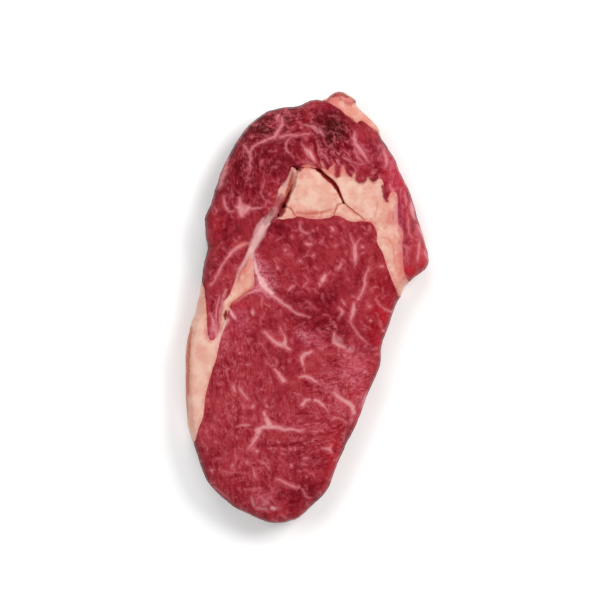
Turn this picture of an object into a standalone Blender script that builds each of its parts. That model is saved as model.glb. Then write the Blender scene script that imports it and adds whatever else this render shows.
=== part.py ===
# A raw boneless ribeye steak, lying flat, built from the muscles and the fat that a butcher would name.
#
# Lengths are in millimetres until they reach a mesh, where MM turns them into metres.
# The frame is +Z up, with the cut face in X and Y. The origin is on the board, under the middle of the steak.
# The steak is modelled first as one slab. Upright cutters, each drawn as a loop on the cut face, then part it
# into its pieces, so that neighbours share one surface and one narrow seam.
import math

import bmesh
import bpy
from mathutils import Vector, noise
from mathutils.geometry import delaunay_2d_cdt

MM = 0.001

# Driving dimensions of the slab
THICKNESS = 20.0        # at a plain place in the middle of the cut face
RIM_TOP = 14.0          # height at which the side wall ends and the top edge starts to round over
RIM_BOTTOM = 4.6        # height at which the rounding of the bottom edge ends
TOP_ROUND = 6.2         # how far in from the rim the top edge is rounded
BOTTOM_ROUND = 4.5      # how far in the bottom edge is rounded
BULGE = 0.9             # how far the middle of the side wall stands out past its rims
SEAM_GAP = 0.3          # clearance between neighbouring pieces

# How finely the slab and its cutters are drawn
RIM_STEP = 2.5          # between points round the outline
LOOP_STEP = 1.8         # between points round a piece of fat
SIDE_STEP = 4.0         # between points round a muscle
TOP_STEP = 4.8          # between points inside the cut face
BASE_STEP = 9.0         # between points on the flat underside
TOP_RINGS = (0.3, 1.1, 2.6, 4.4, 6.2)
BASE_RINGS = (0.6, 2.0, 4.5)
CLOSEST = 1.0           # a point nearer than this to another is left out
CURVE_STEPS = 12        # short straight stretches between two corners of a loop

# Low relief of the slab, as height or reach and as the length over which it changes
EDGE_RAGGED = (0.35, 7.0)
SURFACE_UNEVEN = (0.45, 24.0)

# The outline of the steak from above, anticlockwise from the lowest point of its round end
OUTLINE = (
    # the free side of the eye, up to the notch
    (-14.5, -108.3), (-8.5, -107.0), (-3.0, -104.8), (6.3, -96.0), (11.0, -90.2), (15.0, -79.5),
    (19.5, -69.2), (25.5, -57.2), (31.4, -41.6), (34.6, -35.0), (37.2, -27.0), (37.4, -19.5),
    (40.2, -11.8), (42.6, -4.6), (45.2, 1.8), (47.2, 5.4), (48.0, 8.8),
    # the hooked end of the cap, and its long outer side
    (50.4, 12.2), (54.0, 15.4), (58.2, 17.9), (60.6, 20.9), (61.0, 24.5), (59.8, 30.5),
    (56.6, 41.5), (53.2, 53.0), (49.6, 61.8), (46.0, 68.8), (43.8, 75.0), (40.0, 80.8), (37.3, 84.2),
    # the lip of fat
    (35.8, 89.0), (33.0, 93.2), (27.2, 98.6), (24.6, 101.4), (24.9, 103.4), (21.5, 106.2),
    (17.5, 108.2), (13.8, 107.6), (11.0, 105.8), (8.4, 103.8),
    # the back of the cap, round to the small hollow
    (5.0, 104.2), (1.0, 103.4), (-4.0, 101.2), (-12.5, 100.2), (-19.5, 98.4), (-27.0, 93.6),
    (-31.5, 88.6), (-36.5, 81.2), (-41.4, 72.0), (-45.6, 61.0), (-47.8, 53.2), (-50.6, 46.9),
    (-51.5, 44.0), (-50.7, 39.5), (-50.9, 35.0), (-49.6, 30.2),
    # the edge covered in fat, and the round end of the eye
    (-51.4, 24.0), (-53.0, 12.5), (-55.4, 0.5), (-60.2, -17.5), (-61.0, -36.0), (-60.5, -48.0),
    (-59.8, -58.0), (-57.2, -67.6), (-54.2, -77.4), (-50.0, -87.0), (-44.5, -93.6),
    (-38.0, -99.0), (-30.5, -103.0), (-22.0, -106.7),
)

# The pieces of fat, each drawn as a loop. A piece ends where the one before it in this list begins, so a loop
# may run on under an earlier one. It may also run past the outline, where there is nothing to cut.
FAT_LOOPS = {
    # the hard wedge of fat between the eye and the cap
    "fat_kernel": (
        (-4.6, 69.0), (-2.0, 69.6), (2.5, 69.5), (6.3, 68.2), (9.0, 65.6), (12.9, 62.3), (14.6, 60.0),
        (16.3, 56.2), (18.3, 52.0), (14.9, 51.8), (14.1, 49.6), (13.5, 47.4), (11.8, 45.1), (7.0, 44.3),
        (1.5, 44.3), (-2.5, 45.2), (-6.4, 46.2), (-7.7, 49.3), (-11.1, 50.3), (-11.0, 52.2),
        (-9.2, 55.8), (-7.0, 60.8), (-5.8, 66.0),
    ),
    # a chip that has come away at the foot of the wedge
    "fat_chip": ((-6.4, 50.4), (-11.4, 50.8), (-12.8, 49.0), (-14.3, 45.7), (-13.4, 43.9), (-9.4, 44.5), (-5.6, 45.2)),
    # a second one on its other side
    "fat_wedge": (
        (13.0, 50.6), (14.8, 53.0), (18.4, 52.4), (20.9, 49.8), (23.9, 47.4), (26.5, 45.6), (28.2, 43.5),
        (23.4, 42.9), (20.8, 43.3), (17.7, 45.0), (14.9, 46.1), (12.4, 46.4),
    ),
    # the seam of fat that widens beside the cracks and runs down to the free side
    "seam_fat": (
        (6.0, 66.0), (7.4, 69.4), (10.0, 68.2), (13.0, 70.6), (15.0, 65.2), (17.8, 69.4), (21.8, 64.6),
        (24.4, 68.4), (26.9, 62.0), (30.2, 64.8), (33.2, 62.3), (37.2, 63.8), (39.4, 53.4), (42.0, 57.6),
        (44.8, 56.0), (45.0, 47.8), (45.4, 41.8), (47.8, 37.0), (47.2, 31.8), (47.5, 25.2), (48.0, 18.5),
        (49.4, 14.4), (54.0, 9.0), (52.0, 0.0), (45.8, 5.6), (44.3, 9.2), (42.2, 14.4), (39.6, 21.6),
        (37.8, 27.4), (35.1, 32.2), (34.9, 37.4), (32.2, 42.2), (28.4, 43.2), (24.0, 44.8), (18.0, 49.0),
        (14.0, 54.0), (9.0, 61.0),
    ),
    # the pale seam, the three-cornered fat below it and the long strip on the edge
    "edge_fat": (
        (-6.6, 70.6), (-10.2, 63.4), (-14.0, 58.6), (-15.6, 52.2), (-20.5, 43.8), (-25.5, 35.8),
        (-29.0, 28.8), (-32.5, 21.2), (-36.1, 12.2), (-38.6, 5.8), (-41.6, 2.0), (-43.0, -8.8),
        (-45.2, -15.0), (-47.4, -16.8), (-49.2, -14.6), (-49.8, -10.8), (-50.1, -3.6), (-50.6, 3.8),
        (-52.0, 11.4), (-58.0, 16.0), (-68.0, -10.0), (-68.0, -60.0), (-62.0, -72.0), (-56.0, -67.0),
        (-54.0, -59.8), (-52.0, -54.8), (-50.9, -45.2), (-49.3, -37.8), (-47.4, -31.2), (-45.2, -24.8),
        (-42.8, -13.8), (-40.5, -7.8), (-39.0, -0.2), (-37.4, 2.4), (-32.8, 5.8), (-28.6, 9.0),
        (-26.4, 11.0), (-27.0, 22.8), (-26.5, 27.8), (-24.0, 32.8), (-21.0, 38.8), (-17.4, 42.4),
        (-13.2, 45.6), (-10.4, 50.0), (-7.6, 55.6), (-5.2, 61.0), (-3.8, 66.6),
    ),
    # the lip of fat at the far end
    "lip_fat": (
        (9.2, 102.8), (12.8, 101.1), (16.9, 98.6), (19.5, 96.0), (23.3, 93.8), (24.8, 91.6), (26.7, 93.4),
        (29.7, 91.2), (32.3, 89.4), (34.8, 88.0), (37.6, 84.8), (44.0, 88.0), (32.0, 108.0),
        (18.0, 118.0), (4.0, 112.0), (7.6, 104.6),
    ),
}

# Everything on the eye's side of the chain of fat pieces. Its upper border runs through the fat.
EYE_SIDE = (
    (-90.0, -34.0), (-50.0, -24.0), (-44.1, -14.0), (-41.4, -5.0), (-39.3, 2.4), (-31.0, 14.0), (-27.0, 30.0),
    (-18.6, 43.8), (-13.2, 52.0), (-9.0, 58.0), (2.0, 58.0), (14.0, 55.0), (30.0, 51.0), (40.0, 40.0),
    (44.0, 20.0), (47.5, 8.0), (90.0, -30.0), (60.0, -130.0), (-60.0, -130.0),
)

# Open cracks beside the hard fat, as (x, y, half width at the top, depth)
CRACKS = {
    "left_crack": (
        (-11.6, 74.2, 0.2, 0.6), (-8.4, 72.0, 0.7, 3.0), (-5.2, 69.2, 1.0, 7.0), (-5.8, 66.0, 0.9, 10.0),
        (-7.2, 60.8, 0.9, 11.0), (-9.4, 55.8, 1.0, 12.0), (-11.2, 52.0, 0.9, 11.0), (-13.3, 47.9, 0.7, 7.0),
        (-15.4, 43.8, 0.2, 0.8),
    ),
    "right_crack": (
        (-4.0, 69.4, 0.5, 5.0), (0.5, 69.7, 0.45, 5.0), (4.5, 68.9, 0.5, 6.0), (6.6, 68.0, 0.75, 8.0),
        (9.1, 65.6, 0.95, 11.0), (13.0, 62.4, 1.05, 13.0), (14.7, 60.0, 1.0, 13.0), (16.4, 56.2, 0.8, 12.0),
        (18.4, 52.2, 0.6, 9.0), (20.9, 49.8, 0.45, 7.0), (23.9, 47.4, 0.4, 5.0), (26.5, 45.6, 0.35, 3.5),
        (28.6, 43.2, 0.2, 0.8),
    ),
    "upper_crack": (
        (6.9, 68.6, 0.5, 4.0), (6.2, 71.8, 0.6, 5.0), (5.1, 74.4, 0.65, 5.0), (4.1, 78.2, 0.5, 3.5),
        (3.4, 82.6, 0.2, 0.6),
    ),
}
CRACK_ABOVE = 3.0       # how far a crack's cutter stands above the cut face

# Broad forms of the cut face, as (x, y, reach along x, reach along y, height)
SWELLINGS = (
    (-14.0, -58.0, 34.0, 40.0, 1.4),    # the lower part of the eye stands proud
    (8.0, 22.0, 24.0, 17.0, -0.7),      # its upper part lies a little lower
    (-30.0, 62.0, 15.0, 24.0, 0.9),     # the cap, left of the wedge
    (28.0, 80.0, 16.0, 12.0, 1.1),      # the cap, right of the wedge
    (3.5, 56.0, 10.0, 11.0, 1.4),       # the hard wedge itself
    (53.0, 30.0, 7.0, 16.0, 0.5),       # the hooked end of the cap
    (2.0, 98.0, 13.0, 7.0, 0.9),        # the back of the cap
    (-54.0, -38.0, 7.0, 24.0, -1.2),    # the strip of fat slopes away to the edge
    (20.0, 103.0, 9.0, 6.0, -2.0),      # the lip lies lower than the rest
)

# Valleys where two parts of the meat meet, as half width, depth and the points along the middle
VALLEYS = {
    "seam_between_eye_parts": (3.0, 1.1, (
        (-26.0, 10.0), (-16.0, 4.0), (0.0, -5.0), (12.0, -16.0), (24.0, -25.0), (37.0, -27.0))),
    "seam_left_of_cap": (2.6, 0.9, ((-50.0, 30.5), (-42.0, 33.0), (-32.0, 37.0))),
    "crease_in_the_cap": (2.4, 0.7, ((3.0, 84.0), (12.0, 88.0), (16.0, 96.0))),
    "pale_seam": (3.4, 0.9, ((-12.0, 60.0), (-19.0, 45.0), (-26.0, 32.0), (-30.0, 22.0))),
    "side_of_right_seam": (2.4, 0.8, ((45.0, 52.0), (46.6, 38.0), (47.6, 24.0))),
}

# The look of each kind of piece: colour, roughness
LEAN = ((0.33, 0.035, 0.045), 0.35)
FAT = ((0.80, 0.49, 0.37), 0.45)


def clear_scene():
    for old in list(bpy.data.objects):
        bpy.data.objects.remove(old)


def material(name, colour, roughness):
    made = bpy.data.materials.new(name)
    made.use_nodes = True
    shader = made.node_tree.nodes["Principled BSDF"]
    shader.inputs["Base Color"].default_value = (*colour, 1.0)
    shader.inputs["Roughness"].default_value = roughness
    shader.inputs["Metallic"].default_value = 0.0
    made.diffuse_color = (*colour, 1.0)
    return made


def curve_through(before, here, after, beyond, t):
    """The point a share t of the way from here to after on a Catmull-Rom curve."""
    return 0.5 * (
        2 * here + (after - before) * t
        + (2 * before - 5 * here + 4 * after - beyond) * t ** 2
        + (3 * here - before - 3 * after + beyond) * t ** 3
    )


def smooth_loop(corners, step):
    """Evenly spaced points, anticlockwise, on a smooth closed curve through the corners."""
    knots = [Vector(corner) for corner in corners]
    count = len(knots)
    fine = []
    for i, here in enumerate(knots):
        before, after, beyond = knots[i - 1], knots[(i + 1) % count], knots[(i + 2) % count]
        fine += [curve_through(before, here, after, beyond, k / CURVE_STEPS) for k in range(CURVE_STEPS)]
    doubled_area = sum(fine[i - 1].cross(point) for i, point in enumerate(fine))
    if doubled_area < 0:
        fine.reverse()
    return evenly(fine, step)


def evenly(points, step):
    """The same closed line, with its points the same distance apart."""
    sides = [(points[(i + 1) % len(points)] - point).length for i, point in enumerate(points)]
    count = round(sum(sides) / step)
    spacing = sum(sides) / count
    made, walked, i = [], 0.0, 0
    for n in range(count):
        while walked + sides[i] < n * spacing:
            walked += sides[i]
            i += 1
        share = (n * spacing - walked) / sides[i]
        made.append(points[i].lerp(points[(i + 1) % len(points)], share))
    return made


def outward(loop):
    """The unit normal at each point of an anticlockwise loop, pointing out of it."""
    made = []
    for i, _ in enumerate(loop):
        along = (loop[(i + 1) % len(loop)] - loop[i - 1]).normalized()
        made.append(Vector((along.y, -along.x)))
    return made


def grown(loop, distance):
    return [point + normal * distance for point, normal in zip(loop, outward(loop))]


def distance_to_line(point, line, closed=False):
    """How far the point is from a line of straight stretches."""
    nearest = math.inf
    for i in range(0 if closed else 1, len(line)):
        start, along = line[i - 1], line[i] - line[i - 1]
        share = (point - start).dot(along) / along.length_squared
        foot = start + along * max(0.0, min(1.0, share))
        nearest = min(nearest, (point - foot).length)
    return nearest


def inside(point, loop):
    crossings = 0
    for i, b in enumerate(loop):
        a = loop[i - 1]
        if (a.y > point.y) != (b.y > point.y):
            crossings += point.x < a.x + (point.y - a.y) * (b.x - a.x) / (b.y - a.y)
    return crossings % 2 == 1


def wander(point, layer, size):
    """Smooth noise for one of the low reliefs; each relief has its own layer."""
    reach, length = size
    return reach * noise.noise(Vector((point.x, point.y, layer)) / length)


def relief(point):
    """Height of the cut face above or below THICKNESS."""
    height = wander(point, 0.0, SURFACE_UNEVEN)
    for x, y, reach_x, reach_y, rise in SWELLINGS:
        away = ((point.x - x) / reach_x) ** 2 + ((point.y - y) / reach_y) ** 2
        height += rise * math.exp(-away)
    for half_width, depth, line in VALLEYS.values():
        away = distance_to_line(point, [Vector(p) for p in line]) / half_width
        height -= depth * math.exp(-away * away)
    return height


def rounded(inset, radius):
    """A quarter round: 0 at the rim, 1 at the radius and further in."""
    t = min(max(inset, 0.0) / radius, 1.0)
    return math.sqrt(1.0 - (1.0 - t) ** 2)


def top_height(point, inset):
    return RIM_TOP + (THICKNESS + relief(point) - RIM_TOP) * rounded(inset, TOP_ROUND)


def base_height(point, inset):
    return RIM_BOTTOM * (1.0 - rounded(inset, BOTTOM_ROUND))


def grid_in(loop, step):
    """A grid of points, every second row shifted, over the box round the loop."""
    low = Vector((min(p.x for p in loop), min(p.y for p in loop)))
    high = Vector((max(p.x for p in loop), max(p.y for p in loop)))
    row_height = step * math.sqrt(3) / 2
    made = []
    for row in range(int((high.y - low.y) / row_height) + 1):
        shift = step / 2 * (row % 2)
        for column in range(int((high.x - low.x) / step) + 1):
            made.append(Vector((low.x + shift + column * step, low.y + row * row_height)))
    return made


def face_points(rim, rings, step):
    """Points inside the rim: rings that follow it, then a grid. Each comes with its distance from the rim."""
    candidates = [(point, 0.93 * ring) for ring in rings for point in grown(rim, -ring)]
    candidates += [(point, rings[-1] + step / 2) for point in grid_in(rim, step)]
    kept = []
    for point, least_inset in candidates:
        if not inside(point, rim):
            continue
        inset = distance_to_line(point, rim, closed=True)
        room = min(CLOSEST, 0.8 * inset)
        crowded = any((point - other).length < room for other, _ in kept)
        if inset > least_inset and not crowded:
            kept.append((point, inset))
    return kept


def add_face(mesh, rim, rim_vertices, inner, height):
    """Fills the rim with triangles whose inner points lie at height(point, inset)."""
    flat = rim + [point for point, _ in inner]
    _, _, triangles, came_from, _, _ = delaunay_2d_cdt(flat, [], [list(range(len(rim)))], 1, 1e-6)
    vertices = list(rim_vertices)
    vertices += [mesh.verts.new((p.x * MM, p.y * MM, height(p, inset) * MM)) for p, inset in inner]
    for triangle in triangles:
        mesh.faces.new([vertices[came_from[corner][0]] for corner in triangle])


def finished(mesh, name):
    """The bmesh as a mesh of this name, with its faces pointing out."""
    bmesh.ops.recalc_face_normals(mesh, faces=mesh.faces)
    made = bpy.data.meshes.new(name)
    mesh.to_mesh(made)
    mesh.free()
    return made


def row_of_vertices(mesh, loop, height):
    return [mesh.verts.new((p.x * MM, p.y * MM, height * MM)) for p in loop]


def join_rows(mesh, lower, upper):
    for i, _ in enumerate(lower):
        mesh.faces.new((lower[i - 1], lower[i], upper[i], upper[i - 1]))


def slab_mesh():
    """The whole steak as one closed body: a domed cut face, a bulging side and a flat underside."""
    outline = smooth_loop(OUTLINE, RIM_STEP)
    ragged = [p + n * wander(p, 5.0, EDGE_RAGGED) for p, n in zip(outline, outward(outline))]
    rim = grown(ragged, -BULGE)
    wall = RIM_TOP - RIM_BOTTOM
    mesh = bmesh.new()
    rows = [
        row_of_vertices(mesh, rim, RIM_BOTTOM),
        row_of_vertices(mesh, grown(ragged, -0.1 * BULGE), RIM_BOTTOM + wall / 4),
        row_of_vertices(mesh, grown(ragged, -0.2 * BULGE), RIM_TOP - wall / 4),
        row_of_vertices(mesh, rim, RIM_TOP),
    ]
    for lower, upper in zip(rows, rows[1:]):
        join_rows(mesh, lower, upper)
    add_face(mesh, rim, rows[-1], face_points(rim, TOP_RINGS, TOP_STEP), top_height)
    add_face(mesh, rim, rows[0], face_points(rim, BASE_RINGS, BASE_STEP), base_height)
    return finished(mesh, "slab")


def helper(name, mesh):
    """A cutter: an object that shapes others and is never part of the steak."""
    made = bpy.data.objects.new(name, mesh)
    bpy.context.scene.collection.objects.link(made)
    made.hide_render = True
    made.display_type = "WIRE"
    return made


def upright_cutter(name, loop, reach=8.0):
    """A prism with this outline, which passes the steak by this reach above and below."""
    mesh = bmesh.new()
    low = row_of_vertices(mesh, loop, -reach)
    high = row_of_vertices(mesh, loop, THICKNESS + reach)
    mesh.faces.new(low)
    mesh.faces.new(high)
    join_rows(mesh, low, high)
    return helper(name, finished(mesh, name))


def crack_cutter(name, stations):
    """A V-shaped wedge that follows the stations, as deep as each one says."""
    mesh = bmesh.new()
    sections = []
    for i, (x, y, half_width, depth) in enumerate(stations):
        before, after = stations[max(i - 1, 0)], stations[min(i + 1, len(stations) - 1)]
        along = Vector((after[0] - before[0], after[1] - before[1])).normalized()
        across = Vector((-along.y, along.x)) * half_width * (1 + CRACK_ABOVE / depth)
        middle = Vector((x, y))
        surface = THICKNESS + relief(middle)
        left, right = middle + across, middle - across
        sections.append([
            mesh.verts.new((left.x * MM, left.y * MM, (surface + CRACK_ABOVE) * MM)),
            mesh.verts.new((x * MM, y * MM, (surface - depth) * MM)),
            mesh.verts.new((right.x * MM, right.y * MM, (surface + CRACK_ABOVE) * MM)),
        ])
    mesh.faces.new(sections[0])
    mesh.faces.new(sections[-1])
    for here, there in zip(sections, sections[1:]):
        join_rows(mesh, here, there)
    return helper(name, finished(mesh, name))


def boolean(target, name, operation, cutter):
    step = target.modifiers.new(name, "BOOLEAN")
    step.operation = operation
    step.solver = "EXACT"
    step.object = cutter


def cracked_slab():
    """The slab with its cracks cut, as a plain mesh that every piece starts from."""
    whole = helper("whole_steak", slab_mesh())
    for name, stations in CRACKS.items():
        boolean(whole, name, "DIFFERENCE", crack_cutter(name, stations))
    graph = bpy.context.evaluated_depsgraph_get()
    return bpy.data.meshes.new_from_object(whole.evaluated_get(graph))


def piece(name, slab, look, keep, neighbours):
    """One piece of the steak: the slab inside the cutter keep, clear of the pieces beside it."""
    for cutter in neighbours:
        boolean(keep, "clear_of_" + cutter.name, "DIFFERENCE", cutter)
    made = bpy.data.objects.new(name, slab.copy())
    bpy.context.scene.collection.objects.link(made)
    made.data.name = name
    made.data.materials.clear()
    made.data.materials.append(look)
    boolean(made, "inside", "INTERSECT", keep)


def build():
    clear_scene()
    slab = cracked_slab()
    fat = material("fat", *FAT)
    lean = material("lean", *LEAN)
    neighbours = []
    for name, corners in FAT_LOOPS.items():
        loop = smooth_loop(corners, LOOP_STEP)
        piece(name, slab, fat, upright_cutter("keep_" + name, loop), neighbours)
        neighbours.append(upright_cutter("gap_" + name, grown(loop, SEAM_GAP), reach=10.0))
    # The eye is what is left on its side of the fat, and the cap is all the rest
    eye_side = smooth_loop(EYE_SIDE, SIDE_STEP)
    piece("eye_muscle", slab, lean, upright_cutter("keep_eye", eye_side), neighbours)
    around_eye = upright_cutter("gap_eye", grown(eye_side, SEAM_GAP), reach=12.0)
    everywhere = [Vector(corner) for corner in ((-90.0, -130.0), (90.0, -130.0), (90.0, 130.0), (-90.0, 130.0))]
    piece("cap_muscle", slab, lean, upright_cutter("keep_cap", everywhere), [around_eye, *neighbours])


build()
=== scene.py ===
# %% [markdown]
# # A raw ribeye steak, seen from straight above
#
# The steak lies flat on a pale surface, and nearly all that shows is one fresh cut face. Its looks come
# from four things: red muscle with a grain, seams and flecks of white fat in it, large pieces of waxy fat
# between the muscles, and a wet film over everything. This script starts from the imported solids and gives
# each of them a fine surface that carries these four things.
# Some sheen, highlights and shade are painted into these colours as well.

# %% Load the frame
import math
import random

import bpy
import numpy as np
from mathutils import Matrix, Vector, noise
from mathutils.bvhtree import BVHTree


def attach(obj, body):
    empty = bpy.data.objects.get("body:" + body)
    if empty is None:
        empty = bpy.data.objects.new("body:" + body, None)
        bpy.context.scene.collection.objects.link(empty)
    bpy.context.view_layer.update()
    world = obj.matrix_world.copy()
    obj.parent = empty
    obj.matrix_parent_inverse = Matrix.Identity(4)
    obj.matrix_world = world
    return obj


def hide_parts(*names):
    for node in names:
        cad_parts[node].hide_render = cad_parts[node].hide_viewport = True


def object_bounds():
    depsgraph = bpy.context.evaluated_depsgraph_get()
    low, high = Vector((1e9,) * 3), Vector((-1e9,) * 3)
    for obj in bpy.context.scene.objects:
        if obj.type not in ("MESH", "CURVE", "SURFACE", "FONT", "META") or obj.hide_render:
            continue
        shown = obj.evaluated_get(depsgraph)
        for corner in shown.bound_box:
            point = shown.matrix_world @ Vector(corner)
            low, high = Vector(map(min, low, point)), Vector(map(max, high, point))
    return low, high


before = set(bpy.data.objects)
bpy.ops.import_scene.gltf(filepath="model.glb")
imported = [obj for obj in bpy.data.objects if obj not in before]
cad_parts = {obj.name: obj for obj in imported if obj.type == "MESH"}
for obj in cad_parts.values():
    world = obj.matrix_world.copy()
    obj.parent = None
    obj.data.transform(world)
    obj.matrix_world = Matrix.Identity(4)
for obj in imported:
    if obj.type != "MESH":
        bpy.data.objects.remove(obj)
CAD_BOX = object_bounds()
MM = 0.001
LEAN_NODES = ("eye_muscle", "cap_muscle")
FAT_NODES = ("fat_kernel", "fat_chip", "fat_wedge", "seam_fat", "edge_fat", "lip_fat")
print("CAD box in mm:", [[round(c / MM, 1) for c in corner] for corner in CAD_BOX])

# %% [markdown]
# ## The camera and where the photograph's pixels lie
#
# The photograph looks straight down, square to the cut face, from far enough that the sides don't show. A
# flat camera without perspective would nearly do, but a long lens high above the steak also keeps the
# small part of the rims that shows. One pixel of the photograph is half a millimetre of meat, so a mark
# that is seen at a pixel can be put at its place on the steak with one small function.

# %% Camera
MM_PER_PIXEL = 0.5
PHOTO_SIZE = 600
PIXEL_OVER_ORIGIN = (307.0, 307.5)  # the pixel that shows the frame's origin
MIDDLE_OF_STEAK = 13.0              # height in mm at which MM_PER_PIXEL holds
LENS = 180.0
SENSOR = 36.0


def place(pixel):
    """The place on the steak, as x and y in mm, that this pixel of the photograph shows."""
    x = (pixel[0] - PIXEL_OVER_ORIGIN[0]) * MM_PER_PIXEL
    y = (PIXEL_OVER_ORIGIN[1] - pixel[1]) * MM_PER_PIXEL
    return x, y


def add_camera():
    data = bpy.data.cameras.new("camera")
    data.lens = LENS
    data.sensor_width = SENSOR
    camera = bpy.data.objects.new("camera", data)
    bpy.context.scene.collection.objects.link(camera)
    x, y = place((PHOTO_SIZE / 2, PHOTO_SIZE / 2))
    away = LENS / SENSOR * PHOTO_SIZE * MM_PER_PIXEL
    camera.location = (x * MM, y * MM, (MIDDLE_OF_STEAK + away) * MM)
    bpy.context.scene.camera = camera
    return camera


camera = add_camera()
print("camera height in mm:", round(camera.location.z / MM))

# %% [markdown]
# ## Floor and light
#
# The steak was shot on white in soft light from all round. One lamp overhead would be the simplest way,
# but its reflection would lie like a white veil over the flat wet face. So four wide soft lights stand
# round the steak, about forty degrees above the floor, where their reflections miss the camera. The key
# at the upper right is the strongest and the left one the weakest: the rims on the right glow red, and
# the lower left rim ends in a thin dark line. Colours should be read as they are, so the view keeps the
# standard transform.

# %% Floor, world and lights
FLOOR_COLOUR = (0.92, 0.92, 0.92, 1.0)
FLOOR_REACH = 3.0           # m from the middle to each side
FLOOR_ROUGHNESS = 0.7
FLOOR_SPECULAR = 0.2
WORLD_STRENGTH = 0.16
LIGHTS = {
    # name: place in m, width in m, power in W, colour
    "key": ((1.05, 0.70, 1.10), 0.8, 23.0, (1.0, 0.98, 0.96)),
    "left": ((-1.15, 0.25, 1.10), 1.0, 10.0, (0.98, 0.99, 1.0)),
    "front": ((0.20, -1.25, 1.10), 1.0, 11.0, (1.0, 1.0, 1.0)),
    "back": ((-0.30, 1.25, 1.10), 1.0, 12.0, (1.0, 1.0, 1.0)),
}


def add_floor(reach):
    mesh = bpy.data.meshes.new("floor")
    corners = [(-reach, -reach, 0), (reach, -reach, 0), (reach, reach, 0), (-reach, reach, 0)]
    mesh.from_pydata(corners, [], [(0, 1, 2, 3)])
    floor = bpy.data.objects.new("floor", mesh)
    bpy.context.scene.collection.objects.link(floor)
    look = bpy.data.materials.new("pale_floor")
    look.use_nodes = True
    shader = look.node_tree.nodes["Principled BSDF"]
    shader.inputs["Base Color"].default_value = FLOOR_COLOUR
    shader.inputs["Roughness"].default_value = FLOOR_ROUGHNESS
    shader.inputs["Specular IOR Level"].default_value = FLOOR_SPECULAR
    mesh.materials.append(look)


def add_light(name, where, width, power, colour):
    data = bpy.data.lights.new(name, "AREA")
    data.shape = "SQUARE"
    data.size = width
    data.energy = power
    data.color = colour
    light = bpy.data.objects.new(name, data)
    bpy.context.scene.collection.objects.link(light)
    light.location = where
    light.rotation_euler = (-Vector(where)).to_track_quat("-Z", "Y").to_euler()


def add_world(strength):
    world = bpy.data.worlds.new("studio")
    bpy.context.scene.world = world
    world.use_nodes = True
    background = world.node_tree.nodes["Background"]
    background.inputs["Color"].default_value = (1.0, 1.0, 1.0, 1.0)
    background.inputs["Strength"].default_value = strength


add_floor(FLOOR_REACH)
for name, settings in LIGHTS.items():
    add_light(name, *settings)
add_world(WORLD_STRENGTH)
bpy.context.scene.view_settings.view_transform = "Standard"
print("lights:", ", ".join(LIGHTS))

# %% [markdown]
# ## Marbling
#
# Marbling is fat between the bundles of a muscle, so on a cut face it makes branching threads, commas and
# crumbs. A noise texture would make the right kind of mark in the wrong places, and a painted picture
# would blur close up. So each large one is drawn as a stroke: a half width in mm, how strongly the fat
# shows, and the pixels that the stroke passes. Two half widths make a wedge that runs from the first to
# the second, and a stroke with one pixel is a dot.

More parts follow.
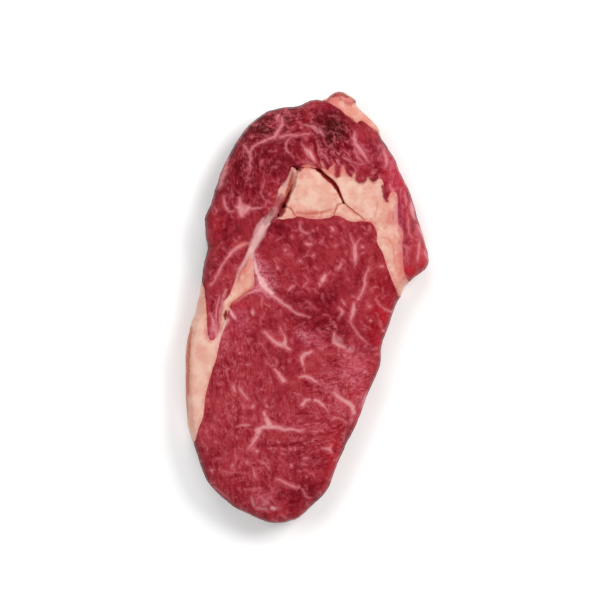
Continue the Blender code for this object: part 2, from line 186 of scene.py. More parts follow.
# %% Marbling in the cap, left of the hard fat
VEINS = [
    # the tree of threads at the back of the cap
    ((0.50, 0.60), 0.78, ((309, 134.9), (300, 135.8), (289.6, 135.8), (280.9, 137.5))),
    ((0.90, 0.60), 0.75, ((275.2, 137.8), (267, 140.6), (258.4, 144), (253.4, 148))),
    ((0.90, 0.50), 0.62, ((253.2, 148), (250.3, 153.4), (250.6, 161.4), (250.6, 169.2))),
    ((0.50, 0.30), 0.50, ((250.6, 169.2), (248.4, 176.1), (247.1, 183))),
    ((0.95, 0.65), 0.80, ((274.8, 138), (279.2, 130), (282.6, 125), (282.2, 119))),
    (0.40, 0.60, ((281.5, 117.6), (285.6, 116.5), (289.7, 114.5))),
    ((0.65, 0.55), 0.65, ((244.3, 146.2), (247.1, 150.1), (249.9, 153.8))),
    (0.52, 0.68, ((300, 136.6), (291.3, 138), (287, 142.3), (285.3, 148.4), (287, 151.8), (290.5, 154.4),
                  (294, 158.2))),
    (0.30, 0.45, ((263.6, 173.5), (264.4, 183))),
    (0.35, 0.45, ((271.4, 181.3), (278.3, 182.4))),
    (0.40, 0.55, ((298.7, 114.5), (297.5, 118.7), (297.5, 121.6))),
    (0.50, 0.65, ((297.5, 121.6), (302.5, 124.9), (307.4, 125.7), (312, 127.4))),
    (0.35, 0.50, ((274.4, 128.5), (278.5, 128.5))),
    (0.35, 0.50, ((264.7, 131.6), (268.8, 130.8))),
    (0.30, 0.50, ((268.8, 151.7), (276.9, 151.2))),
    # the patch of fat further down, and the threads round it
    (1.50, 0.90, ((237.5, 207.6), (244, 207.6), (250.5, 208.6))),
    ((2.00, 0.90), 0.92, ((242, 209.4), (242, 213), (242, 216.4))),
    ((1.30, 0.80), 0.90, ((248.4, 208.6), (244.6, 213.4))),
    ((1.10, 0.40), 0.80, ((239.9, 206), (239.9, 198.4))),
    (0.70, 0.72, ((224.3, 198.2), (225.7, 205.7), (230, 212), (236, 210.6))),
    ((0.95, 0.40), 0.65, ((250.5, 209.2), (256, 209), (262.4, 207.4))),
    (0.50, 0.65, ((263, 184), (262.2, 190.2), (260.7, 193.3), (264.8, 200.7))),
    (0.45, 0.50, ((255.9, 197), (254, 201.3))),
    (0.40, 0.45, ((275, 190.5), (281, 189.7))),
    (0.80, 0.40, ((268.9, 208), (268.5, 212))),
    # threads in the long tongue beside the pale seam
    (1.05, 0.80, ((246, 243), (238.9, 247), (234.1, 250.5), (230, 255.3), (225.2, 261))),
    (0.75, 0.75, ((228, 257.5), (221.2, 267.5), (217.9, 273.9), (214.7, 281.2), (212, 284.5))),
    (1.10, 0.50, ((211.5, 284.4),)),
    (0.50, 0.60, ((217, 301.4), (216.3, 309.5), (214.5, 318))),
    ((0.50, 0.75), 0.92, ((211.6, 314), (213, 322), (213.4, 331))),
    ((0.60, 0.95), 0.90, ((213.4, 319), (215.4, 328), (217, 336))),
    (0.55, 0.85, ((216.8, 321), (218, 328), (218.8, 334.5))),
    (0.40, 0.65, ((210.2, 329), (211.6, 335), (212.6, 339))),
    (0.65, 0.75, ((221, 295), (217.5, 303), (216.2, 315), (216.8, 326))),
    ((0.90, 1.30), 0.65, ((226.6, 291), (222.6, 299), (221.6, 312), (220.6, 325))),
    # the fat in the rim
    (1.10, 0.80, ((228.5, 160), (224.5, 173), (219.4, 188))),
]
print("strokes in the left of the cap:", len(VEINS))

# %% Marbling in the cap, right of the hard fat
VEINS += [
    # the pale wing over the dark part
    ((0.50, 1.20), 0.60, ((306, 126), (313, 128.4), (319, 131.5))),
    ((1.20, 0.30), 0.60, ((319, 131.5), (324.5, 135.5))),
    (0.30, 0.40, ((307.4, 115), (312, 114.5), (316, 117.5))),
    # the two pale strands beside the upper crack
    (0.55, 0.70, ((301.2, 143.6), (304.1, 147.3), (305.8, 150.6), (307.4, 155.6), (308.7, 159))),
    (0.85, 0.95, ((310, 149.5), (311.2, 154.8), (313.2, 159.3), (315, 163))),
    (0.80, 0.35, ((301, 162), (308, 163), (314.9, 165))),
    (0.45, 0.60, ((316.6, 141.8), (318.2, 146.5), (318.6, 150.6), (318.2, 155))),
    (0.45, 0.65, ((319.9, 151.8), (324, 156), (327.3, 160.1), (329.8, 164))),
    (0.70, 0.75, ((320.7, 162.5), (323.2, 167.5))),
    # the strong forked thread
    ((0.45, 1.15), 0.88, ((354.2, 133), (353.4, 138), (355.2, 144.5))),
    ((1.15, 0.85), 0.88, ((355.2, 144.5), (360, 150.8), (364, 156))),
    ((0.85, 0.30), 0.80, ((364, 156), (366, 159), (368, 163))),
    (0.60, 0.65, ((354, 147.8), (354.9, 152.4), (356.9, 157.4), (360.6, 161.1), (364, 163.9))),
    (0.50, 0.60, ((350.7, 162.3), (354.9, 164), (360.2, 164.8), (366.5, 164.2))),
    (0.25, 0.50, ((361.5, 146.2), (364.2, 144.7), (367.3, 146.2))),
    # its neighbours
    (0.55, 0.50, ((334, 137.5), (334, 143))),
    (0.45, 0.50, ((331.9, 144.5), (331.9, 149.5))),
    (0.35, 0.50, ((328.6, 148.1), (325.7, 152.3))),
    (0.45, 0.50, ((346, 127), (346.4, 132.8))),
    (0.35, 0.30, ((335.6, 117.4), (338.5, 124.9))),
    (0.35, 0.50, ((341.8, 150.6), (345.6, 152.7), (349.9, 155))),
    (0.35, 0.35, ((342.3, 137.3), (345.8, 140))),
    (0.60, 0.65, ((342.7, 158.1), (347.2, 160.1), (350.6, 162.4))),
    # fat that reaches up between the lobules of the lean
    (0.45, 0.60, ((349.9, 164.8), (353.2, 166.5), (355.7, 169.8), (354.9, 175))),
    (0.70, 0.65, ((336.8, 160.3), (338.5, 165.5))),
    (0.65, 0.80, ((334.1, 164.5), (332.9, 170))),
    (0.75, 0.80, ((342.4, 167), (342.8, 171.5), (343.7, 176.5))),
    (0.40, 0.65, ((352, 173.5), (353.8, 177.5))),
    (0.60, 0.50, ((370.2, 174.2), (374.8, 173.8))),
    (0.80, 0.45, ((379, 176), (379.5, 182))),
    # streaks beside the fat and in the hook
    (0.90, 0.72, ((384.4, 149), (386, 157), (386.8, 163.2), (384.7, 168.5))),
    (0.60, 0.65, ((389, 184.5), (390, 187.5), (391.5, 190), (393.3, 192.5))),
    (0.80, 0.55, ((404.4, 192), (405.2, 199), (405.8, 207))),
    (0.50, 0.70, ((406.6, 213.8), (407.7, 224), (408.3, 233), (411.7, 238.4))),
    (0.45, 0.60, ((406, 246), (407, 256), (408, 264))),
    (0.80, 0.70, ((418.5, 242.6), (418, 252), (416.5, 262))),
    (1.10, 0.75, ((416.8, 225.7), (421, 231.5), (424.4, 241))),
    (0.90, 0.70, ((424.4, 251), (427, 259.5))),
    # the fat in the rim
    (1.15, 0.95, ((409.8, 202), (411.4, 208), (412.9, 213.8), (414, 220.6))),
]
print("strokes down to the end of the cap:", len(VEINS))

# %% Marbling in the upper part of the eye
VEINS += [
    # the pale line between the two parts of the eye
    ((1.5, 0.9), 0.85, ((261, 286), (268, 291.5), (276, 298.5))),
    (0.95, 0.80, ((272, 294), (279, 300.7), (287.5, 306), (292, 308.5))),
    (0.80, 0.65, ((286, 305.3), (296.4, 312.3), (309.8, 317.7))),
    # the forked thread on the right
    ((0.9, 1.35), 0.95, ((354.3, 244.5), (354.5, 250), (355.2, 256.5))),
    ((1.35, 0.30), 0.95, ((355.2, 256.5), (355.2, 261), (354.8, 265.5))),
    ((0.25, 0.75), 0.75, ((350.5, 234), (351.4, 238.5), (353.8, 244.6))),
    ((0.30, 0.65), 0.75, ((360, 239), (357.5, 242.5), (355.2, 246.5))),
    (0.50, 0.60, ((358.9, 255.8), (364.5, 251.7))),
    (0.50, 0.50, ((361, 227.2), (365, 230.3))),
    # the thread that bends down from the fat, and the crumbs under it
    (0.62, 0.80, ((299.7, 223.2), (300.2, 229.3), (303.8, 232.9), (308.6, 234))),
    (0.35, 0.50, ((308.5, 236), (309.5, 240.5))),
    (0.90, 0.90, ((306, 243.2), (309, 245), (311.5, 244.4))),
    (0.35, 0.50, ((309, 250.5), (305.8, 254.8))),
    (0.40, 0.50, ((275.5, 240.2), (279.8, 239), (283, 236))),
    (0.35, 0.50, ((325.2, 245.6), (328.3, 247.7))),
    (0.55, 0.50, ((346, 250.8), (346.2, 255))),
    (0.45, 0.60, ((274, 259.4), (276.7, 262.4), (277.2, 268))),
    ((0.35, 0.85), 0.80, ((340.3, 262.5), (340.9, 265.4), (338, 268.8))),
    # the large crumb and the dots beside it
    (0.75, 0.95, ((299.4, 261), (301, 261.6))),
    ((0.95, 1.50), 1.00, ((325, 275), (323.6, 277.8), (323, 280))),
    ((1.20, 0.50), 0.95, ((323, 280), (322.6, 283))),
    (0.40, 0.60, ((327.2, 274.2), (330.3, 271.4))),
    (0.35, 0.50, ((331.3, 273.2), (335.4, 275.2))),
    (0.75, 0.75, ((294.6, 284.9), (291, 287.8), (288, 290.8))),
    (0.55, 0.65, ((308.4, 282.3), (305, 285.2), (302.2, 287.4))),
    # the thread beside the right rim, from the fat down to the crescent
    (0.90, 0.60, ((355.3, 259), (355.3, 264.9))),
    (0.80, 0.85, ((369.2, 268.2), (366.7, 273.9), (365.1, 278), (365.1, 284.5), (362.7, 290.2),
                  (359.4, 295.9), (357.8, 300))),
    (0.35, 0.60, ((362.2, 273.5), (365, 276.8))),
    (0.95, 0.80, ((358.8, 298.6), (358.2, 300.2))),
    (0.35, 0.60, ((383, 287), (383, 293))),
    ((0.40, 0.70), 0.70, ((375.7, 299.2), (379, 304.1), (385.5, 309), (391.4, 312.2))),
    (0.65, 0.70, ((341.8, 299.8), (345.2, 305.7))),
    ((0.70, 1.25), 0.90, ((353.2, 303.8), (353.3, 309.4))),
    ((1.25, 0.50), 0.90, ((353.3, 309.4), (351.6, 315.5), (350.4, 321))),
    (0.60, 0.70, ((350.6, 320), (352, 326.1), (356.9, 332.7), (362.7, 339.2), (368.5, 343.8))),
    ((0.45, 0.95), 0.80, ((339, 308.2), (342.5, 312.2))),
    ((0.95, 0.35), 0.80, ((342.5, 312.2), (340.8, 315.4), (338.2, 318.8))),
    (0.60, 0.60, ((332.4, 322), (336.5, 328.4))),
    (0.35, 0.50, ((360.2, 321.2), (370.8, 330.2))),
    (0.95, 0.75, ((382.2, 329.6), (383.8, 330.8))),
    (0.50, 0.50, ((321, 315), (329, 315.5))),
]
print("strokes down to the waist of the eye:", len(VEINS))

# %% Marbling in the lower part of the eye
VEINS += [
    # the salmon strip under the lower fat, the flake beside the hole and the threads right of it
    (0.75, 0.95, ((229.2, 308), (231.7, 312.7), (235.2, 318.8))),
    ((1.05, 0.35), 0.75, ((262, 289.5), (254, 290.9), (247.5, 294.2), (241, 298.4), (234.5, 303.2))),
    (0.50, 0.50, ((252.3, 307), (253.6, 311), (253.6, 317))),
    (0.30, 0.40, ((243.6, 320.5), (243.8, 328))),
    # the cross of fat in the middle
    (0.80, 0.65, ((236.2, 425.9), (243, 423.6), (250.8, 424.2))),
    ((0.80, 1.70), 0.95, ((264.3, 411.8), (266, 417.4), (269.5, 423.5))),
    (1.35, 0.95, ((255.5, 429.3), (262, 426.5), (269.9, 425.9), (278.9, 427), (284, 428.9))),
    ((1.10, 0.75), 0.85, ((282, 428.3), (290, 428.7), (297, 429.8))),
    ((0.90, 0.35), 0.90, ((296.5, 429.8), (300.5, 429.8), (305, 428.6))),
    (0.30, 0.50, ((294.6, 425.3), (304.7, 425.9))),
    (0.50, 0.65, ((310.3, 430.2), (315, 430.4), (319.5, 431.2))),
    (0.35, 0.55, ((323, 424.8), (329.3, 427))),
    (0.30, 0.50, ((314, 427.6), (319, 428.4))),
    ((1.60, 0.45), 0.90, ((259.2, 429.4), (255.9, 436.5), (251.9, 443.3), (248.6, 447.8))),
    (0.40, 0.55, ((263.7, 431), (264.3, 437))),
    # the wedge and the threads that run into it
    ((0.60, 1.25), 0.92, ((264.9, 331.4), (269, 336.3), (273.1, 340.4), (278.8, 343.7))),
    ((1.25, 0.75), 0.92, ((278.8, 343.7), (284, 346.1), (289.8, 348.8))),
    ((0.40, 0.55), 0.75, ((280.4, 327.3), (282, 332.2), (284.5, 337.1))),
    ((0.60, 1.60), 0.92, ((284.3, 336), (285.3, 341.2), (283.9, 344.4))),
    (0.55, 0.50, ((299.9, 329.1), (305.6, 335.6))),
    (0.55, 0.45, ((268.2, 355.9), (266.3, 361.6), (271.4, 366.5), (275.7, 365.5), (278.2, 361),
                  (272.2, 356.5))),
    ((0.60, 1.40), 0.90, ((275.2, 369.2), (279.6, 375.5), (283.7, 379.9))),
    (0.80, 0.80, ((232.6, 385.4), (235.6, 391.4))),
    (0.75, 0.80, ((239.2, 386.2), (243.7, 393.5), (249, 399.8))),
    (0.60, 0.65, ((265.2, 403.2), (269, 408.6))),
    # the hook and the streaks over the crescent
    ((0.75, 1.35), 0.98, ((311, 351.7), (305.2, 354.2), (301.9, 357.4))),
    ((1.35, 0.70), 0.98, ((301.9, 357.4), (302.4, 361.5), (303.4, 365))),
    (0.60, 0.60, ((304.6, 367), (304.4, 374))),
    (0.95, 0.92, ((298.6, 376.6), (304.8, 375.4), (310.4, 378.1), (317.2, 381.8))),
    # the crescent, the islands right of it and the streaks under them
    ((0.70, 1.40), 0.95, ((334.4, 333.4), (334.4, 338), (335.2, 341.5))),
    ((1.40, 0.80), 0.95, ((335.2, 341.5), (338, 344.9), (344.4, 347.2))),
    (0.45, 0.65, ((336.2, 335), (339, 338), (341.8, 341.5))),
    (0.60, 0.70, ((345.6, 346.4), (346.8, 351), (351.6, 351.8), (354, 348.6), (351.3, 345.2))),
    (0.50, 0.50, ((364, 360.5), (368.5, 358.5))),
    (1.10, 0.80, ((364, 371.2), (365, 372))),
    (0.45, 0.50, ((320.3, 374.4), (326, 372.3), (333.4, 369.9))),
    (0.45, 0.50, ((335.8, 368.6), (344, 370.8), (352, 370))),
    (0.40, 0.45, ((318, 389), (325, 392), (331, 390))),
    # the fat in the lower right
    ((0.80, 1.50), 0.95, ((333.6, 392.6), (337.7, 396.9), (343.2, 399.8), (349.4, 402.8))),
    ((1.60, 1.10), 1.00, ((349.4, 402.8), (352.6, 407.2), (353.7, 413.4))),
    ((1.10, 0.70), 0.90, ((302, 403.8), (305, 400.2), (309.6, 398.8))),
    ((0.85, 0.95), 0.90, ((314.2, 399.9), (319.2, 401.3), (323, 404.4))),
    ((0.80, 0.30), 0.75, ((323, 404.4), (326.2, 408.5), (328.4, 413))),
    (0.50, 0.65, ((330.8, 418), (336.9, 417.7), (343, 419.2), (346.9, 422.6))),
    (0.50, 0.60, ((345.4, 427.7), (344.2, 434), (343.5, 441))),
    (0.70, 0.95, ((365.6, 392.6), (364.4, 399), (362.6, 406))),
    # threads under the cross
    ((0.40, 1.00), 0.85, ((322.3, 447.4), (326.4, 448.2), (329.2, 449))),
    ((0.95, 0.35), 0.85, ((329.2, 449), (331.6, 444.4))),
    ((0.90, 0.40), 0.85, ((329.2, 449), (331.4, 452.6))),
    (0.40, 0.50, ((332.6, 438.6), (336, 440.8))),
    (0.50, 0.60, ((269.5, 447.4), (276, 447.4))),
    (0.50, 0.60, ((281, 446.7), (286, 448.8))),
    (0.40, 0.55, ((220.9, 469.4), (229.5, 471.2), (238, 471.6), (246.2, 473.2))),
    (0.60, 0.80, ((253.6, 467.5), (254.2, 472), (255.6, 478))),
    (0.30, 0.50, ((250.5, 462.5), (253, 468))),
    (0.62, 0.70, ((258.7, 459.4), (266.2, 463.9), (269.6, 469.2))),
    (0.40, 0.60, ((244, 488.6), (254, 487.8), (263, 486.8))),
    (0.72, 0.85, ((276.2, 478), (283.4, 481), (290.7, 484.7), (300, 487))),
    (0.50, 0.60, ((299.5, 486.6), (303, 490.2), (304.8, 495), (311.4, 497))),
    (0.50, 0.60, ((281, 513.5), (287.4, 518))),
    (0.50, 0.60, ((211.5, 484.5), (221, 491.5), (230, 498.2))),
    (0.35, 0.50, ((222, 330), (214, 359), (208.5, 382), (204, 407), (203, 424))),
]
print("strokes in all:", len(VEINS))

# %% [markdown]
# ## Crumbs of fat
#
# Between the threads lie crumbs of fat a pixel or two across. They need only a place: their shapes come
# later from a seeded draw, since nobody could tell one crumb's shape from another's. The bright ones
# stand out in the photograph, and the dull ones fill the lean between them.

# %% Specks of fat
BRIGHT_SPECKS = (
    (278.3, 117.4), (278.3, 119), (332.6, 228.6), (334, 230), (291.8, 236.2), (321.6, 242.6), (335.4, 245.6),
    (286, 250.2), (313.5, 254.8), (277.1, 268.2), (319.6, 285.4), (361.9, 247.1), (381.4, 265.3),
    (391.2, 312.2), (253.1, 406.2), (267.1, 405.7), (252.1, 448.8), (257, 450), (290.4, 447.6), (306.6, 457),
    (291.3, 465.7), (212.3, 469.6), (212.7, 471.2), (232.6, 463.9), (247.2, 462), (320.1, 492),
    (369.2, 306.9), (370, 320.4),
)
SPECKS = (
    (301.4, 128.8), (311, 122), (270.4, 195), (221.6, 241.5), (235.7, 241.5), (240.6, 238), (216.6, 259),
    (422.7, 252.7), (308.6, 244.8), (343.6, 224.7), (318, 228.3), (313, 231.8), (330.3, 236.4),
    (254.6, 328.4), (273.3, 365), (249, 331.4), (252.7, 351.8), (251, 338.8), (242, 363.3), (247.8, 364.1),
    (271, 447.2), (295.7, 446.1), (277.8, 441), (284, 453), (216, 441), (225, 455), (238, 436), (228, 404),
    (222, 376), (240, 352), (263, 389), (295, 392), (318, 417), (343, 432), (236, 343), (289, 360),
    (322, 350), (355, 360), (347, 384), (362, 392), (312, 440), (259, 452), (283.4, 469.4), (299.3, 470),
    (306.6, 475.5), (314.3, 464.6), (286.5, 511), (304.6, 441.5), (319, 459.6),
)
print("specks:", len(BRIGHT_SPECKS) + len(SPECKS))

# %% [markdown]
# ## Film and sheen
#
# A muscle is wrapped in silverskin, a thin pale film. It shows as a greyish lilac band along the seam
# left of the hard fat. Where it is wet it carries nearly white painted highlights, and where the cut only
# grazed it a pink painted sheen; thin wet patches elsewhere are painted sheen too. Clear sheets of their
# own over the face would be the true build, but they lie flat on the meat and nothing shows of their
# edges. So they are strokes too, in three lists, because each has its own colour and softness.

# %% Film and sheen
FILM_AND_SHEEN = [
    # the silverskin, from the crack down to the thin line beside the lower fat
    (0.75, 0.55, ((294.2, 170.4), (291.5, 175.5), (288.5, 180.5))),
    (1.35, 0.70, ((287.5, 181.5), (284.5, 187.5), (282.5, 192.5))),
    (1.30, 0.55, ((275.6, 208.4), (273.4, 213))),
    (1.20, 0.40, ((283, 193.5), (281, 198.5))),
    (1.50, 0.14, ((281, 197), (278, 203), (275, 208))),
    ((1.20, 2.20), 0.62, ((273.2, 212.6), (269.2, 218), (265.6, 222.6))),
    ((2.20, 2.70), 0.92, ((265.6, 222.6), (262.4, 227.2), (260.2, 231.6))),
    ((2.70, 1.90), 0.92, ((260.2, 231.6), (257, 239.5), (253.2, 247))),
    ((1.80, 1.30), 0.85, ((253.2, 246), (251.6, 250.4), (249.6, 254))),
    ((1.10, 0.45), 0.85, ((249.2, 253.6), (246.2, 259), (240.8, 268), (236, 279.6))),
    ((0.90, 1.30), 0.80, ((252.8, 252), (254.4, 262), (257, 272))),
    # thin wet patches: painted sheen
    (0.7, 0.45, ((338, 339), (340.4, 342))),
    (0.8, 0.40, ((349, 348), (350.5, 349))),
    (0.6, 0.45, ((303, 334), (306, 338))),
    (0.9, 0.40, ((271.5, 506.6), (276.5, 508))),
    (0.6, 0.50, ((252, 496.3), (254, 505))),
    (0.5, 0.45, ((256.4, 507), (266.2, 508.4))),
    (0.5, 0.40, ((262, 497), (266.5, 501.5), (262, 503.5))),
    # whitish lines in the seam of fat
    (0.30, 0.60, ((377.3, 196), (379.5, 193.3), (381.5, 197), (383, 201))),
    (0.50, 0.75, ((395.4, 205), (394.6, 213.8), (395.2, 221), (396, 227))),
    (1.30, 0.45, ((399, 249),)),
]
PALE_AND_PAINTED_HIGHLIGHTS = [
    # nearly white: painted highlights on the wet film at the fork of the silverskin, along the sheen's
    # edge and on a wet patch at the bottom; pale fat beside the hole and beside the upper crack
    (1.10, 0.70, ((252.4, 248.2), (250.6, 252.6))),
    (0.75, 0.60, ((262.6, 226), (258.6, 235))),
    ((0.50, 0.95), 0.85, ((254.9, 262), (256.4, 269.5), (259.4, 277.6))),
    ((1.10, 1.55), 0.95, ((259.4, 277.6), (262.6, 283.4))),
    ((1.55, 0.70), 0.95, ((262.6, 283.4), (267, 288.4), (272, 292.4))),
    (0.60, 0.55, ((271.5, 506.6), (276.5, 508))),
    (0.50, 0.60, ((229.6, 308.6), (231.8, 312.6), (235, 318.4))),
    (0.50, 0.60, ((252.4, 310.6), (252.8, 314.4))),
    (0.60, 0.50, ((306.5, 149.5), (310, 154.5), (312.5, 160))),
    # the white edge of the band of fat below the hole
    ((0.70, 1.00), 0.60, ((228.4, 319.4), (224.4, 326), (220.8, 334))),
    ((1.00, 0.30), 0.55, ((220.8, 334), (217.4, 343), (214.6, 354))),
    # a painted highlight on a thin wet patch
    (0.55, 0.55, ((349, 348), (350.5, 349))),
]
BLOOM_AND_SHEEN = [
    # pink to lilac painted sheen where the cut grazes the film
    (2.0, 1.00, ((257, 256), (260, 268), (265, 279), (273, 289))),
    (2.4, 0.50, ((263, 262), (268, 273), (277, 286))),
    (1.9, 0.90, ((254.8, 280), (256.5, 287), (263, 292), (270, 295))),
    (1.0, 0.55, ((237.5, 309), (240.5, 318), (240, 328))),
    (0.9, 0.70, ((214, 322), (212, 330), (212.4, 337))),
    (1.2, 0.40, ((246, 309), (248, 318), (247, 328))),
    (2.2, 0.60, ((296, 331), (303, 336), (309, 343))),
    (1.8, 0.50, ((309, 333), (318, 341), (320, 349))),
    (1.2, 0.60, ((337, 338), (341, 342))),
    (1.4, 0.60, ((348.5, 348), (351, 350))),
    (1.8, 0.40, ((340, 354), (352, 358), (366, 353))),
    (2.2, 0.50, ((344, 371), (351, 378), (357, 387))),
    (1.8, 0.55, ((354.5, 392), (358.5, 398), (360, 405))),
    (1.4, 0.50, ((350, 416), (353, 423))),
    (3.2, 0.30, ((256, 500), (266, 504), (278, 506))),
    (2.2, 0.40, ((254, 488), (262, 494), (272, 497))),
    (1.6, 0.45, ((226, 333), (226, 346), (222, 356))),
    (2.0, 0.40, ((318, 384), (330, 386), (342, 392))),
    (1.6, 0.45, ((332, 402), (340, 408), (344, 414))),
    (2.6, 0.40, ((352, 362), (362, 372), (358, 386))),
    # soft pale patches of the cap
    (1.5, 0.75, ((311.5, 127.5), (317.5, 130.5), (323.5, 134))),
    (1.2, 0.45, ((246, 149), (250, 158), (249.5, 170))),
    (1.4, 0.45, ((352.5, 139), (357, 148), (363, 156))),
    (1.3, 0.35, ((288, 120), (281, 128), (274, 136))),
    (1.3, 0.35, ((262, 141.5), (274, 138.5), (288, 137))),
    (1.1, 0.40, ((319, 146), (321.5, 154), (327, 161))),
    (1.3, 0.35, ((235, 206), (246, 211), (258, 208.5))),
    # the soft border between the fat seam and the right side of the cap
    (1.3, 0.55, ((397, 214), (399, 226), (403, 236), (402.5, 250), (403, 264))),
    # the flushed right side of the cap
    (1.6, 0.45, ((383, 150), (388, 160), (392, 172))),
    (1.0, 0.60, ((388, 182), (391.5, 190), (396.5, 196))),
    (1.2, 0.50, ((396.5, 190), (397, 204), (399, 222), (404, 236))),
    (1.0, 0.50, ((414, 225), (419, 240), (421, 256))),
]
print("strokes of film and sheen:", len(FILM_AND_SHEEN) + len(PALE_AND_PAINTED_HIGHLIGHTS) + len(BLOOM_AND_SHEEN))

# %% [markdown]
# ## Lobules and dark rims
#
# Where muscle meets fat, the lean bulges over the border in rounded lobules with dark mauve rims. The
# solids could have them in their outlines, but most are only a millimetre or two across. So lobules are
# strokes in which fat turns into lean, and a second list lays the dark mauve over lean and fat alike: on
# the lobules' rims, and as painted shade beside the left crack and along the lip's rim.

# %% Lobules and dark rims
LOBULES = [
    # lean that lies over the top of the fat seam in rounded lobules
    (0.85, 0.80, ((320, 155), (325, 163.5), (327.5, 171))),
    (2.40, 1.00, ((331, 162), (344, 165.5), (358, 168.5), (371, 171), (381, 176))),
    (1.50, 0.95, ((337.4, 166), (337.3, 174.5))),
    (1.45, 0.95, ((337.2, 175.2),)),
    (2.00, 0.95, ((348.6, 167), (349.2, 172))),
    (1.90, 0.90, ((349.3, 171.8),)),
    (0.90, 0.80, ((350.6, 175.6),)),
    (3.00, 1.00, ((359.5, 170), (360.6, 177))),
    (2.90, 1.00, ((360.7, 178),)),
    (1.90, 1.00, ((372.8, 176), (373.1, 180))),
    (1.00, 0.95, ((382, 186), (383.8, 195.2), (386, 201))),
    (0.85, 0.95, ((386.2, 201.3),)),
    (1.20, 0.45, ((389.5, 190), (396, 192.5))),
    (1.20, 0.50, ((378, 174), (379, 179))),
    # lean over the top of the narrow band of fat, and in the gap beside its lower part
    (2.10, 0.95, ((282, 196), (276.5, 206), (271, 214.5))),
    (1.20, 0.95, ((286.5, 196), (283.5, 202.5), (280.5, 209))),
    (0.55, 0.90, ((277.2, 197.5), (278, 193.4))),
    (1.45, 0.95, ((281, 208), (277, 215.5), (272, 223))),
    (0.40, 0.85, ((249, 257), (246.2, 262.6), (243.5, 268.5))),
    (0.55, 0.75, ((223.4, 306), (221.6, 313), (219.6, 321))),
    (0.35, 0.45, ((243.5, 268.5), (240, 276), (236.6, 283))),
    # the red top of the lip
    (1.00, 0.75, ((333, 96.6), (340, 95.4), (347.5, 97.4))),
    (0.60, 0.45, ((338.4, 97), (341.3, 101))),
    (0.90, 0.35, ((344, 101), (350.5, 104.5), (353.5, 103))),
]
DARK_RIMS_AND_SHADE = [
    # dark mauve at the lobules' lower rims, and painted shade beside the left crack
    (0.50, 0.75, ((354.2, 178), (356.4, 182), (360.5, 184.4), (364.8, 182.5), (366.3, 178))),
    (0.55, 0.60, ((335, 176.5), (337.2, 178), (339.3, 176.3))),
    (0.70, 0.65, ((349, 174.5), (351, 178))),
    (1.75, 0.75, ((373, 179.6),)),
    (0.75, 0.75, ((382, 187.6), (383.8, 195.2), (386.2, 201.5))),
    (0.80, 0.55, ((398, 190), (398.5, 206), (400.5, 224))),
    (0.70, 0.65, ((320.7, 156.4), (326.5, 163.9), (327.8, 170))),
    (0.60, 0.60, ((352.4, 169), (352.2, 173))),
    (0.45, 0.70, ((407, 189), (408, 196), (409, 201))),
    (0.80, 0.60, ((403.3, 221), (404.4, 229), (406.4, 235))),
    (0.90, 0.60, ((411, 217.5), (412.9, 225), (413, 232))),
    (1.00, 0.60, ((406, 241),)),
    (0.20, 0.60, ((393.1, 213), (393.2, 219))),
    (1.40, 0.90, ((282.9, 203.5), (281.7, 209.5), (279.5, 214.5))),
    (0.90, 0.80, ((274.6, 219), (271.5, 226), (268, 231))),
    (2.20, 0.42, ((272.6, 211.5), (268.4, 218.5), (265.4, 223.6))),
    ((0.60, 1.40), 0.95, ((283, 156.4), (288.5, 160.6), (294, 164.6), (299, 168.4))),
    (0.40, 0.55, ((225, 320.8), (222.6, 326), (220, 332))),
    (0.80, 0.45, ((294, 168.5), (289.8, 174), (286, 180.5), (282.6, 185.5))),
    # painted shade along the rim of the lip
    (0.55, 0.75, ((325.5, 102), (329.5, 97.6), (333.4, 95.2), (337, 93.8), (341, 93), (344.4, 94.2),
                  (348.6, 97.4), (353.4, 100))),
    (0.80, 1.00, ((353.6, 100.4), (355, 103))),
]
print("strokes of lobules and bruises:", len(LOBULES) + len(DARK_RIMS_AND_SHADE))

# %% [markdown]
# ## Stains of blood and painted shade
#
# Blood has coloured the fat it ran into: the hard fat has thin brown seams, and flushes of salmon pink
# follow the borders. The reddish brown is also painted shade: on the slope beside the left crack, on the
# left rim and along the lip's right rim. Noise would stain the fat evenly, and these marks have places of
# their own. So they are strokes in two lists, one for each colour.

# %% Stains of blood and painted shade
BROWN_STAINS_AND_SHADE = [
    # the thin seams in the hard fat
    (0.42, 1.00, ((343.5, 203), (349, 208), (354.8, 212.8), (360, 216.6), (364.5, 221))),
    (0.42, 1.00, ((343.4, 203.4), (337, 205), (335.4, 209.6), (334, 216))),
    (0.38, 1.00, ((284.4, 207.4), (288.4, 208), (292, 211), (295.4, 217))),
    # reddish brown over the hard fat, and painted shade on the slope beside the left crack and on the left
    # rim
    (1.15, 0.95, ((293.2, 173.5), (291, 181), (289, 188.5), (286, 197.5))),
    (0.65, 0.72, ((297, 212.3), (304, 213.2), (312, 214), (322, 213), (331, 210.5))),
    (0.35, 0.60, ((286, 207.6), (291, 208), (292.2, 211), (294.4, 215.6))),
    (0.30, 0.55, ((377, 202), (377, 210.5), (375.3, 217.2))),
    (0.30, 0.50, ((380.4, 238.4), (388, 238.4), (392.2, 244.3), (393, 252), (394, 262))),
    (1.15, 0.90, ((191, 328), (189.2, 345), (188.2, 360), (187.8, 378), (188, 395))),
    (0.60, 0.75, ((190, 330), (187.4, 345), (186.4, 362), (186.2, 380), (187, 400), (188.6, 416))),
    # painted shade along the lip's right rim
    (0.60, 0.60, ((357, 106.5), (364, 113), (371, 120), (377, 127), (380, 133))),
    # the thin brown line along the bottom of the lower fat
    (0.42, 0.95, ((254, 285.6), (247.4, 292), (239.8, 297.2), (232.4, 302.8), (229.4, 307))),
]
